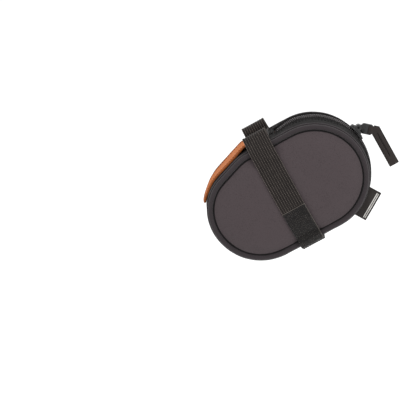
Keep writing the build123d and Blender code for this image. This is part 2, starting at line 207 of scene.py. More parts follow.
def loft(name: str, rings: Sequence[Ring], capped: bool = True, closed_ring: bool = True,
         looped: bool = False) -> bpy.types.Object:
    """Skins a row of rings into one piece, with a UV map in metres along and across.

    Args:
        name: the piece's name.
        rings: rings of points, all with the same count.
        capped: whether the first and last rings are closed with a face.
        closed_ring: whether each ring runs round to its start.
        looped: whether the last ring joins the first.

    Returns:
        The new object, in the bag's frame.
    """
    mesh = bmesh.new()
    layer = mesh.loops.layers.uv.new("UVMap")
    grid = [[mesh.verts.new(point) for point in ring] for ring in rings]
    count = len(rings[0])
    across = [0.0]
    for k in range(count if closed_ring else count - 1):
        across.append(across[-1] + (rings[0][(k + 1) % count] - rings[0][k]).length)
    along = [0.0]
    for k in range(len(rings) if looped else len(rings) - 1):
        after = rings[(k + 1) % len(rings)]
        along.append(along[-1] + (after[0] - rings[k][0]).length)
    for row in range(len(along) - 1):
        low, high = grid[row], grid[(row + 1) % len(rings)]
        for k in range(len(across) - 1):
            after = (k + 1) % count
            face = mesh.faces.new((low[k], low[after], high[after], high[k]))
            spots = ((k, row), (k + 1, row), (k + 1, row + 1), (k, row + 1))
            for corner, (a, b) in zip(face.loops, spots):
                corner[layer].uv = (across[a], along[b])
    if capped and closed_ring and not looped:
        for ring, place in ((grid[0], 0.0), (grid[-1], along[-1])):
            face = mesh.faces.new(ring)
            for corner in face.loops:
                corner[layer].uv = (0.0, place)
    bmesh.ops.recalc_face_normals(mesh, faces=mesh.faces)
    data = bpy.data.meshes.new(name)
    mesh.to_mesh(data)
    mesh.free()
    piece = bpy.data.objects.new(name, data)
    bpy.context.scene.collection.objects.link(piece)
    return piece


def join(name: str, parts: Sequence[bpy.types.Object]) -> bpy.types.Object:
    """Joins pieces into one.

    Args:
        name: the joined piece's name.
        parts: the pieces.

    Returns:
        The joined piece.
    """
    deselect_all()
    for part in parts:
        part.select_set(True)
    bpy.context.view_layer.objects.active = parts[0]
    bpy.ops.object.join()
    parts[0].name = name
    parts[0].data.name = name
    return parts[0]


def copies(name: str, model: bpy.types.Object, places: Sequence[Matrix]) -> bpy.types.Object:
    """Repeats a small model at many places as one mesh, and removes the model.

    Args:
        name: the piece's name.
        model: the shape that is repeated.
        places: where each copy goes.

    Returns:
        The piece made of all the copies.
    """
    points = [vertex.co.copy() for vertex in model.data.vertices]
    faces = [tuple(polygon.vertices) for polygon in model.data.polygons]
    all_points: list[Vector] = []
    all_faces: list[tuple[int, ...]] = []
    for place in places:
        start = len(all_points)
        all_points += [place @ point for point in points]
        all_faces += [tuple(start + k for k in face) for face in faces]
    data = bpy.data.meshes.new(name)
    data.from_pydata(all_points, [], all_faces)
    data.shade_smooth()
    bpy.data.objects.remove(model)
    piece = bpy.data.objects.new(name, data)
    bpy.context.scene.collection.objects.link(piece)
    return piece


def mirrored(piece: bpy.types.Object, name: str) -> bpy.types.Object:
    """A copy of a piece on the other side of the bag.

    Args:
        piece: the piece, in the bag's frame.
        name: the copy's name.

    Returns:
        The copy.
    """
    data = piece.data.copy()
    data.name = name
    data.transform(Matrix.Scale(-1, 4, Vector((0, 1, 0))))
    data.flip_normals()
    copy = bpy.data.objects.new(name, data)
    bpy.context.scene.collection.objects.link(copy)
    return copy


def wrinkle(piece: bpy.types.Object, size: float, depth: float, seed: float) -> None:
    """Moves a piece's points along their normals by smooth noise.

    Args:
        piece: the piece, in the bag's frame.
        size: the width of one wrinkle, in metres.
        depth: the largest move, in metres.
        seed: an offset that makes each piece differ.
    """
    offset = Vector((seed, seed * 0.7, -seed))
    for vertex in piece.data.vertices:
        value = noise.noise(vertex.co / size + offset)
        vertex.co += vertex.normal * value * depth


def between(low: float, high: float, value: float) -> float:
    """Rises smoothly from 0 at low to 1 at high."""
    share = min(1.0, max(0.0, (value - low) / (high - low)))
    return share * share * (3 - 2 * share)


# ---- the outline ------------------------------------------------------------------------
def compass(degrees: float) -> Vector:
    """The unit (U, W) vector that many degrees above U."""
    return Vector((math.cos(math.radians(degrees)), math.sin(math.radians(degrees))))


@dataclass(frozen=True)
class Stretch:
    """One arc of the outline, or a line where the radius is 0."""

    origin: Vector                  # the arc's centre, or the line's start
    radius: float
    facing: float                   # of the outward normal at its start, degrees above U
    length: float


@dataclass(frozen=True)
class Outline:
    """The bag's side view: four arcs joined by straight lines.

    A place on it is a distance s, from the nose over the top to the rear and back under.
    """

    length: float = 124.6 * MM
    rear_radius: float = 40 * MM
    heel_radius: float = 39.5 * MM
    nose_radius: float = 34 * MM
    shoulder_radius: float = 36 * MM
    nose_angle: float = 168.0       # where the two front arcs meet, degrees above U
    slope_angle: float = 109.5      # which way the slanted front top faces

    @property
    def rear(self) -> Vector:
        """The rear arc's centre, as (U, W)."""
        return Vector((self.length - self.rear_radius, self.rear_radius))

    @cached_property
    def stretches(self) -> list[Stretch]:
        """The arcs and lines in order from the nose."""
        heel = Vector((self.heel_radius, self.heel_radius))
        nose = heel + compass(self.nose_angle) * (self.heel_radius - self.nose_radius)
        slope = compass(self.slope_angle)
        reach = nose.dot(slope) + self.nose_radius
        high = 2 * self.rear_radius - self.shoulder_radius
        shoulder = Vector(((reach - self.shoulder_radius - high * slope.y) / slope.x, high))
        arcs = (
            (nose, self.nose_radius, self.nose_angle, self.slope_angle),
            (shoulder, self.shoulder_radius, self.slope_angle, 90.0),
            (self.rear, self.rear_radius, 90.0, -90.0),
            (heel, self.heel_radius, -90.0, self.nose_angle - 360.0),
        )
        found = []
        for number, (centre, radius, first, last) in enumerate(arcs):
            found.append(Stretch(centre, radius, first, radius * math.radians(first - last)))
            if number < len(arcs) - 1:
                start = centre + compass(last) * radius
                end = arcs[number + 1][0] + compass(last) * arcs[number + 1][1]
                found.append(Stretch(start, 0.0, last, (end - start).length))
        return found

    @cached_property
    def total(self) -> float:
        """The whole distance round."""
        return sum(stretch.length for stretch in self.stretches)

    def before(self, number: int) -> float:
        """The distance round to the start of a numbered stretch."""
        return sum(stretch.length for stretch in self.stretches[:number])

    @lru_cache(maxsize=None)
    def spot(self, s: float) -> tuple[Vector, Vector]:
        """The place and outward normal at a distance round the outline.

        Args:
            s: the distance from the nose, in metres.

        Returns:
            The point and its normal, both as (U, W).
        """
        s %= self.total
        for stretch in self.stretches:
            if s <= stretch.length:
                break
            s -= stretch.length
        if stretch.radius == 0.0:
            normal = compass(stretch.facing)
            return stretch.origin + Vector((normal.y, -normal.x)) * s, normal
        normal = compass(stretch.facing - math.degrees(s / stretch.radius))
        return stretch.origin + normal * stretch.radius, normal

    def at_top(self, u: float) -> float:
        """The distance s at which the flat top passes u."""
        return self.before(3) + u - self.stretches[3].origin.x

    def at_bottom(self, u: float) -> float:
        """The distance s at which the bottom line passes u."""
        return self.before(5) + self.rear.x - u

    def at_polar(self, degrees: float) -> float:
        """The distance s of a place on the rear arc, degrees above U about its centre."""
        return self.before(4) + math.radians(90 - degrees) * self.rear_radius

    def point(self, s: float, y: float, rise: float) -> Vector:
        """A point of the bag's frame.

        Args:
            s: the distance round.
            y: the depth.
            rise: how far outside the outline it is.

        Returns:
            The point.
        """
        place, normal = self.spot(s)
        place = place + normal * rise
        return Vector((place.x, y, place.y))

    def steps(self, first: float, last: float, pitch: float) -> list[float]:
        """Even distances from first to last, about pitch apart."""
        count = max(2, round((last - first) / pitch))
        return [first + (last - first) * k / count for k in range(count + 1)]


LINE = Outline()
MOUTH_TOP = LINE.at_top(HINGE_U)
MOUTH_BOTTOM = LINE.at_bottom(HINGE_U)
SLIDER_S = LINE.at_polar(14.4)
GUSSET_EDGE = 24.8 * MM
FRONT_CROWN = 0.8 * MM
REAR_CROWN = 2.5 * MM


def crown(s: float, y: float) -> float:
    """How far the gusset stands past the outline: little at the front, more round the rear.

    Args:
        s: the distance round.
        y: the depth.

    Returns:
        The rise, in metres.
    """
    ramp = 16 * MM
    share = between(MOUTH_TOP, MOUTH_TOP + ramp, s) * between(-MOUTH_BOTTOM, ramp - MOUTH_BOTTOM, -s)
    height = FRONT_CROWN + (REAR_CROWN - FRONT_CROWN) * share
    return height * (1 - (y / GUSSET_EDGE) ** 2)


def sweep(name: str, stations: Sequence[float], section: Callable[[float], list[tuple[float, float]]],
          looped: bool = False) -> bpy.types.Object:
    """Sweeps a closed section round the outline.

    Args:
        name: the piece's name.
        stations: the distances round at which a ring is set.
        section: gives the section's (Y, rise) points at a distance.
        looped: whether the piece runs all the way round.

    Returns:
        The piece, in the bag's frame.
    """
    rings = [[LINE.point(s, y, rise) for y, rise in section(s)] for s in stations]
    return loft(name, rings, looped=looped)


def settle(piece: bpy.types.Object, slot: str, body: str, replaced: Sequence[str] = ()) -> None:
    """Turns a finished piece to the row's frame and hands it to its body.

    Args:
        piece: the piece, in the bag's frame.
        slot: the material slot it takes its finish from.
        body: the body it rides on.
        replaced: the CAD nodes that it stands for.
    """
    piece.data.transform(BAG.matrix)
    piece.data.update()
    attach(piece, body)
    dress(piece, slot, replaced)


def settle_bending(piece: bpy.types.Object, slot: str, replaced: Sequence[str] = ()) -> None:
    """Turns a finished piece that crosses the mouth's hinge to the row's frame.

    Args:
        piece: the piece, in the bag's frame.
        slot: the material slot it takes its finish from.
        replaced: the CAD nodes that it stands for.
    """
    piece.data.transform(BAG.matrix)
    piece.data.update()
    dress(piece, slot, replaced)
    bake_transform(piece)


def dress(piece: bpy.types.Object, slot: str, replaced: Sequence[str]) -> None:
    """Gives a piece its slot's finish and reports it.

    Args:
        piece: the piece.
        slot: the material slot.
        replaced: the CAD nodes that it stands for.
    """
    if not piece.data.materials:
        piece.data.materials.append(FINISHES[slot].material())
    if replaced:
        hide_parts(*replaced)
    LOG.info("%s: %d faces", piece.name, len(piece.data.polygons))


# ---- finishes ---------------------------------------------------------------------------
def linear(colour: str) -> tuple[float, float, float, float]:
    """Turns an sRGB hex colour to linear.

    Args:
        colour: such as "#5A5052".

    Returns:
        Linear red, green, blue and an alpha of 1.
    """
    parts = [int(colour[k:k + 2], 16) / 255 for k in (1, 3, 5)]
    parts = [p / 12.92 if p <= 0.04045 else ((p + 0.055) / 1.055) ** 2.4 for p in parts]
    return (parts[0], parts[1], parts[2], 1.0)


def add(tree: bpy.types.NodeTree, kind: str, links: dict | None = None, **settings) -> bpy.types.Node:
    """Adds a node with its settings and its incoming links.

    Args:
        tree: the node tree.
        kind: the node's type.
        links: input name or number to the output socket, or the value, that goes in.
        **settings: the node's own properties.

    Returns:
        The node.
    """
    node = tree.nodes.new(kind)
    for key, value in settings.items():
        setattr(node, key, value)
    for key, value in (links or {}).items():
        if isinstance(value, bpy.types.NodeSocket):
            tree.links.new(value, node.inputs[key])
        else:
            node.inputs[key].default_value = value
    return node


def ramp(tree: bpy.types.NodeTree, factor: bpy.types.NodeSocket,
         stops: Sequence[tuple[float, str]]) -> bpy.types.NodeSocket:
    """A colour ramp over a factor.

    Args:
        tree: the node tree.
        factor: the factor's socket.
        stops: places and hex colours, two or more.

    Returns:
        The colour's socket.
    """
    node = add(tree, "ShaderNodeValToRGB", {"Fac": factor})
    elements = node.color_ramp.elements
    while len(elements) < len(stops):
        elements.new(0.5)
    for element, (place, colour) in zip(elements, stops):
        element.position = place
        element.color = linear(colour)
    return node.outputs["Color"]


MOTTLE_SIZE = 9 * MM            # of the uneven dyeing that every finish has
MOTTLE_SHARE = 0.35             # of that in the colour; the rest follows the pattern's height
SHEEN_ROUGHNESS = 0.5
COAT_ROUGHNESS = 0.12


class Pattern(Enum):
    """How a cloth or part was made, which sets its pattern."""

    KNIT = "knit"
    WEAVE = "weave"
    RIBBED = "ribbed"
    PILE = "pile"
    PLAIN = "plain"


@dataclass(frozen=True)
class Finish:
    """One finish: what it is made of and how its surface was made."""

    name: str
    dark: str
    light: str
    pattern: Pattern
    pitch: float                    # of one stitch, thread or pile tuft, in metres
    bump: float = 0.3
    depth: float = 0.1 * MM
    roughness: float = 0.85
    metallic: float = 0.0
    sheen: float = 0.0
    coat: float = 0.0
    ior: float = 1.45
    specular: float = 0.15          # cloth scatters, so little of the sky mirrors in it
    uses_uv: bool = False

    def height(self, tree: bpy.types.NodeTree, spot: bpy.types.NodeSocket) -> bpy.types.NodeSocket:
        """The pattern's height over the surface.

        Args:
            tree: the node tree.
            spot: the pattern's coordinates, in metres.

        Returns:
            The height's socket, from 0 to 1.
        """
        scale = 1.0 / self.pitch
        if self.pattern is Pattern.KNIT:
            cells = add(tree, "ShaderNodeTexVoronoi", {"Vector": spot, "Scale": scale})
            fuzz = add(tree, "ShaderNodeTexNoise", {"Vector": spot, "Scale": scale * 1.7, "Detail": 3.0})
            mixed = add(tree, "ShaderNodeMath", {0: cells.outputs["Distance"], 1: fuzz.outputs["Fac"]},
                        operation="ADD")
            return mixed.outputs[0]
        if self.pattern in (Pattern.WEAVE, Pattern.RIBBED):
            waves = []
            for direction in ("X", "Y"):
                wave = add(tree, "ShaderNodeTexWave", {
                    "Vector": spot, "Scale": scale / math.tau * math.pi / 1.6, "Distortion": 0.4,
                    "Detail": 1.0, "Detail Scale": 1.5,
                }, bands_direction=direction)
                waves.append(wave.outputs["Fac"])
            kind = "MAXIMUM" if self.pattern is Pattern.WEAVE else "MULTIPLY"
            return add(tree, "ShaderNodeMath", {0: waves[0], 1: waves[1]}, operation=kind).outputs[0]
        detail = 6.0 if self.pattern is Pattern.PILE else 2.0
        grain = add(tree, "ShaderNodeTexNoise", {
            "Vector": spot, "Scale": scale, "Detail": detail, "Roughness": 0.7,
        })
        return grain.outputs["Fac"]

    def material(self) -> bpy.types.Material:
        """Builds the finish's material once, and returns it."""
        found = bpy.data.materials.get(self.name)
        if found:
            return found
        made = bpy.data.materials.new(self.name)
        made.use_nodes = True
        tree = made.node_tree
        tree.nodes.clear()
        where = add(tree, "ShaderNodeTexCoord")
        spot = where.outputs["UV" if self.uses_uv else "Object"]
        height = self.height(tree, spot)
        patches = add(tree, "ShaderNodeTexNoise", {
            "Vector": where.outputs["Object"], "Scale": 1.0 / MOTTLE_SIZE, "Detail": 4.0,
        })
        factor = add(tree, "ShaderNodeMix", {
            0: MOTTLE_SHARE, 2: height, 3: patches.outputs["Fac"],
        }, data_type="FLOAT")
        colour = ramp(tree, factor.outputs[0], [(0.25, self.dark), (0.75, self.light)])
        bump = add(tree, "ShaderNodeBump", {
            "Strength": self.bump, "Distance": self.depth, "Height": height,
        })
        shader = add(tree, "ShaderNodeBsdfPrincipled", {
            "Base Color": colour, "Roughness": self.roughness, "Metallic": self.metallic,
            "IOR": self.ior, "Specular IOR Level": self.specular,
            "Sheen Weight": self.sheen, "Sheen Roughness": SHEEN_ROUGHNESS,
            "Coat Weight": self.coat, "Coat Roughness": COAT_ROUGHNESS,
            "Normal": bump.outputs["Normal"],
        })
        add(tree, "ShaderNodeOutputMaterial", {"Surface": shader.outputs["BSDF"]})
        return made


FINISHES: dict[str, Finish] = {
    # Knit-faced foam: fine loops that scatter light, so it is matte with a faint mottle.
    "foam_cloth": Finish("knit_faced_foam", "#252022", "#453D3F", Pattern.KNIT, 0.9 * MM, 0.8,
                         0.16 * MM, 0.95, sheen=0.12),
    # The same cloth rolled over the edge, given a darker colour as painted shade: its dense folds sit in shade.
    "edge_roll": Finish("rolled_foam_cloth", "#1B1819", "#322D2F", Pattern.KNIT, 0.8 * MM, 0.4,
                        0.10 * MM, 0.9, sheen=0.15),
    # Plain-woven nylon: a fine square weave, near black.
    "gusset_cloth": Finish("woven_nylon", "#0E0D0D", "#1C1A1A", Pattern.WEAVE, 0.55 * MM, 0.6,
                           0.10 * MM, 0.8, uses_uv=True),
    # Light lining nylon: thin, a little shiny.
    "lining_cloth": Finish("lining_nylon", "#8A3F14", "#B4622D", Pattern.WEAVE, 0.5 * MM, 0.4,
                           0.06 * MM, 0.6, uses_uv=True),
    # Elastic webbing: covered rubber cords side by side with fine cross threads.
    "elastic": Finish("elastic_webbing", "#161312", "#332D2A", Pattern.RIBBED, 0.7 * MM, 0.5,
                      0.12 * MM, 0.85, sheen=0.1, uses_uv=True),
    # Brushed loop pile: a fuzzy mat with scattered bright loops.
    "loop_cloth": Finish("brushed_loop_pile", "#0C0B0B", "#232120", Pattern.PILE, 0.8 * MM, 0.9,
                         0.3 * MM, 0.95, sheen=0.2),
    # The pile's single loops: nylon threads that catch the light.
    "pile_loop": Finish("nylon_pile_loop", "#332F2D", "#57514D", Pattern.PLAIN, 0.9 * MM, 0.2,
                        0.03 * MM, 0.6, sheen=0.2),
    # Moulded hook tape: nylon, slightly shiny.
    "hook_tape": Finish("moulded_hook_nylon", "#101010", "#1B1A1A", Pattern.PLAIN, 0.6 * MM, 0.3,
                        0.05 * MM, 0.5),
    # Woven polyester zip tape: a herringbone so fine that it reads as ribs.
    "zip_tape": Finish("zip_tape_polyester", "#131112", "#232021", Pattern.WEAVE, 0.6 * MM, 0.6,
                       0.10 * MM, 0.85, uses_uv=True),
    # Nylon monofilament coil: smooth and glossy; its light grey is painted highlight against the black tape.
    "zip_coil": Finish("nylon_coil", "#5A5657", "#7A7677", Pattern.PLAIN, 0.5 * MM, 0.1,
                       0.02 * MM, 0.35, coat=0.2),
    # Enamelled zinc casting: smooth black paint with a clear gloss.
    "slider_enamel": Finish("enamelled_zinc", "#050505", "#0A0A0B", Pattern.PLAIN, 1.5 * MM, 0.08,
                            0.02 * MM, 0.3, coat=0.3, specular=0.5),
    # Bright steel pin.
    "pin_steel": Finish("steel_pin", "#8C8C8E", "#A8A8AA", Pattern.PLAIN, 0.4 * MM, 0.1,
                        0.02 * MM, 0.35, metallic=1.0, ior=1.5, specular=0.5),
    # Moulded acetal: black with a gloss from the polished mould.
    "tab_plastic": Finish("moulded_acetal", "#050505", "#0A0A0A", Pattern.PLAIN, 1.2 * MM, 0.1,
                          0.02 * MM, 0.3, coat=0.15, specular=0.5),
    # Folded woven tape.
    "pull_webbing": Finish("folded_woven_tape", "#211E1D", "#393432", Pattern.WEAVE, 0.6 * MM, 0.7,
                           0.10 * MM, 0.85, uses_uv=True),
    # Coated orange nylon.
    "guard_cloth": Finish("coated_orange_nylon", "#8C4A1E", "#BC6D36", Pattern.WEAVE, 0.7 * MM, 0.5,
                          0.08 * MM, 0.6, uses_uv=True),
    # Folded damask label tape.
    "label_cloth": Finish("damask_label_tape", "#211E1D", "#312E2C", Pattern.WEAVE, 0.45 * MM, 0.5,
                          0.06 * MM, 0.8),
    # Spun polyester sewing threads: the seams' black, also laid in the panel's groove as painted shade, and the
    # cloth edges' two pale greys.
    "dark_thread": Finish("dark_thread", "#0A0909", "#151314", Pattern.PLAIN, 0.3 * MM, 0.2,
                          0.03 * MM, 0.7),
    "pale_thread": Finish("pale_thread", "#5A524D", "#7D746E", Pattern.PLAIN, 0.3 * MM, 0.2,
                          0.03 * MM, 0.7),
    "edge_thread": Finish("pale_edge_thread", "#58524E", "#77706A", Pattern.PLAIN, 0.3 * MM, 0.2,
                          0.03 * MM, 0.7),
    # The same orange cloth folded over an edge, given a darker colour as painted shade on the fold.
    "guard_edge_painted_shade": Finish("folded_orange_nylon", "#6E3816", "#935126", Pattern.WEAVE, 0.7 * MM, 0.5,
                         0.08 * MM, 0.65, uses_uv=True),
    # The flap's own thread, and the label's white weft.
    "orange_thread": Finish("orange_thread", "#A0642F", "#C98D55", Pattern.PLAIN, 0.3 * MM, 0.2,
                            0.03 * MM, 0.7),
    "white_thread": Finish("white_woven_thread", "#9C9A96", "#C2C0BC", Pattern.WEAVE, 0.4 * MM, 0.4,
                           0.05 * MM, 0.8),
}


def restitch(piece: bpy.types.Object, finish: str) -> None:
    """Gives a piece a finish that is no slot of the record, such as a thread's.

    Args:
        piece: the piece.
        finish: the finish's key.
    """
    piece.data.materials.clear()
    piece.data.materials.append(FINISHES[finish].material())


# ---- stitching --------------------------------------------------------------------------
def stitch_row(name: str, route: Sequence[tuple[Vector, Vector]], finish: str, pitch: float = 2.4 * MM,
               radius: float = 0.22 * MM) -> bpy.types.Object:
    """Lays a row of lock stitches along a route.

    Args:
        name: the piece's name.
        route: points and the surface's normals there, in the bag's frame.
        finish: the thread's finish.
        pitch: the length from one stitch to the next.
        radius: the thread's radius.

    Returns:
        The row, as one piece.
    """
    deselect_all()
    bpy.ops.mesh.primitive_uv_sphere_add(segments=8, ring_count=6, radius=1.0)
    model = bpy.context.object
    places = []
    spare = 0.0
    for (start, up), (end, _) in zip(route[:-1], route[1:]):
        run = (end - start).length
        while spare < run:
            middle = start.lerp(end, spare / run)
            along = (end - start).normalized()
            side = up.cross(along).normalized()
            rise = along.cross(side)
            turn = Matrix((along * pitch * 0.40, side * radius, rise * radius * 0.8)).transposed()
            places.append(Matrix.Translation(middle + rise * radius * 0.25) @ turn.to_4x4())
            spare += pitch
        spare -= run
    row = copies(name, model, places)
    restitch(row, finish)
    return row


def outline_route(first: float, last: float, y: Callable[[float], float],
                  rise: Callable[[float], float], pitch: float = 2 * MM) -> list[tuple[Vector, Vector]]:
    """A stitch route round the outline.

    Args:
        first: where it starts, as a distance round.
        last: where it ends.
        y: gives the depth at a distance.
        rise: gives the rise at a distance.
        pitch: the spacing of the route's points.

    Returns:
        Points and normals.
    """
    route = []
    for s in LINE.steps(first, last, pitch):
        _, normal = LINE.spot(s)
        route.append((LINE.point(s, y(s), rise(s)), Vector((normal.x, 0, normal.y))))
    return route


# ---- side panels ------------------------------------------------------------------------
@dataclass
class SidePanels:
    """The two domed foam-cloth sides, filled out by a cloth simulation, and their rolled edges."""

    rim_inset: float = 2.8 * MM
    rim_y: float = 26.8 * MM
    back_y: float = 24.6 * MM
    dome: float = 8.4 * MM
    voxel: float = 1.7 * MM
    pressure: float = 4.0
    cap: float = 1.6 * MM
    strap_dent: float = 0.9 * MM
    roll_radius: float = 2.05 * MM
    groove_shade_inset: float = 4.45 * MM   # of the near-black cord laid in the groove beside the roll as painted shade
    groove_shade_y: float = 28.1 * MM
    seam_radius: float = 0.55 * MM
    surface: BVHTree | None = field(default=None, repr=False)

    def dome_ring(self, inset: float, y: float) -> Ring:
        """A ring of the panel at an inset and a depth."""
        return [LINE.point(s, y, -inset) for s in LINE.steps(0, LINE.total, 2.2 * MM)[:-1]]

    def blank(self) -> bpy.types.Object:
        """The panel before the simulation: a closed dome with a flat back, on the left."""
        sign = Side.LEFT.value
        deepest = 31 * MM
        insets = [self.rim_inset + (deepest - self.rim_inset) * (k / 12) ** 1.4 for k in range(13)]
        back = [self.dome_ring(inset, sign * self.back_y) for inset in reversed(insets)]
        rings = back
        for inset in insets:
            share = (inset - self.rim_inset) / (deepest - self.rim_inset)
            lift = self.dome * (1 - (1 - share) ** 2.6)
            rings.append(self.dome_ring(inset, sign * (self.rim_y + lift)))
        return loft("panel_blank", rings)

    def swell(self, piece: bpy.types.Object) -> None:
        """Fills the panel out with pressure, its rim and back held, its swell capped."""
        add_modifier(piece, "REMESH", mode="VOXEL", voxel_size=self.voxel)
        rest = [vertex.co.copy() for vertex in piece.data.vertices]
        held = piece.vertex_groups.new(name="held")
        floor = self.rim_y + 0.6 * MM
        held.add([v.index for v in piece.data.vertices if abs(v.co.y) < floor], 1.0, "REPLACE")
        make_active(piece)
        bpy.ops.object.modifier_add(type="CLOTH")
        cloth = piece.modifiers[-1]
        cloth.settings.use_pressure = True
        cloth.settings.uniform_pressure_force = self.pressure
        cloth.settings.vertex_group_mass = "held"
        cloth.settings.effector_weights.gravity = 0.0
        cloth.settings.quality = 6
        cloth.point_cache.frame_start = 1
        cloth.point_cache.frame_end = 20
        for step in range(1, 21):
            bpy.context.scene.frame_set(step)
        bpy.ops.object.modifier_apply(modifier=cloth.name)
        bpy.context.scene.frame_set(1)
        for vertex, start in zip(piece.data.vertices, rest):
            move = vertex.co - start
            if move.length > self.cap:
                vertex.co = start + move.normalized() * self.cap

    def press_strap(self, piece: bpy.types.Object) -> None:
        """Presses the strap's line into the panel, which swells a little beside it."""
        half = 9 * MM
        for vertex in piece.data.vertices:
            if abs(vertex.co.y) < self.rim_y + 0.5 * MM:
                continue
            away = abs(vertex.co.x - STRAP_U) - half
            dent = self.strap_dent * (1 - between(-1.5 * MM, 4 * MM, away))
            ridge = 0.35 * MM * between(0, 5 * MM, away) * (1 - between(5 * MM, 16 * MM, away))
            vertex.co.y += dent - ridge

    def build(self) -> None:
        """Makes both panels and their rolls."""
        left = self.blank()
        self.swell(left)
        self.press_strap(left)
        add_modifier(left, "SMOOTH", factor=0.5, iterations=4)
        add_modifier(left, "SUBSURF", levels=1, render_levels=1)
        wrinkle(left, 26 * MM, 0.35 * MM, 3.1)
        smooth(left, 60)
        right = mirrored(left, "side_panel_right")
        left.name = "side_panel_left"
        mesh = bmesh.new()
        mesh.from_mesh(left.data)
        self.surface = BVHTree.FromBMesh(mesh)
        mesh.free()
        for piece, side in ((left, Side.LEFT), (right, Side.RIGHT)):
            name = side.name.lower()
            nodes = [f"side_panel_{name}_front", f"side_panel_{name}_rear"]
            settle_bending(piece, "foam_cloth", nodes)
            self.build_roll(side)

    def build_roll(self, side: Side) -> None:
        """Makes one rolled edge of the panel's cloth, and a near-black cord in the groove beside it, laid as
        painted shade.

        Args:
            side: which side of the bag.
        """
        count = 14
        middle_y, inset = 27.0 * MM, 2.1 * MM
        name = side.name.lower()

        def section(s: float) -> list[tuple[float, float]]:
            """The roll's round section, a little fuller and thinner along its way."""
            swell = 1 + 0.05 * noise.noise(Vector((s / (7 * MM), 4.0 + side.value, 0)))
            points = []
            for k in range(count):
                angle = math.tau * k / count
                flat = 1.0 if math.cos(angle) > 0 else 0.96
                reach = self.roll_radius * swell * flat
                points.append((side.value * (middle_y + reach * math.cos(angle)),
                               reach * math.sin(angle) - inset))
            return points

        roll = sweep(f"edge_roll_{name}", LINE.steps(0, LINE.total, 1.6 * MM)[:-1], section, looped=True)
        smooth(roll, 80)
        # the roll takes the panel's cloth, darkened as painted shade
        settle_bending(roll, "edge_roll",
                       [f"edge_binding_{name}_front", f"edge_binding_{name}_rear"])
        # a near-black cord along the groove beside the roll: painted shade
        seam = sweep(f"panel_seam_{name}", LINE.steps(0, LINE.total, 2 * MM)[:-1],
                     lambda s: ring_section(side.value * self.groove_shade_y, -self.groove_shade_inset,
                                            self.seam_radius, 8), looped=True)
        wrinkle(seam, 8 * MM, 0.1 * MM, 9.0 + side.value)
        smooth(seam, 80)
        restitch(seam, "dark_thread")
        settle_bending(seam, "edge_roll")


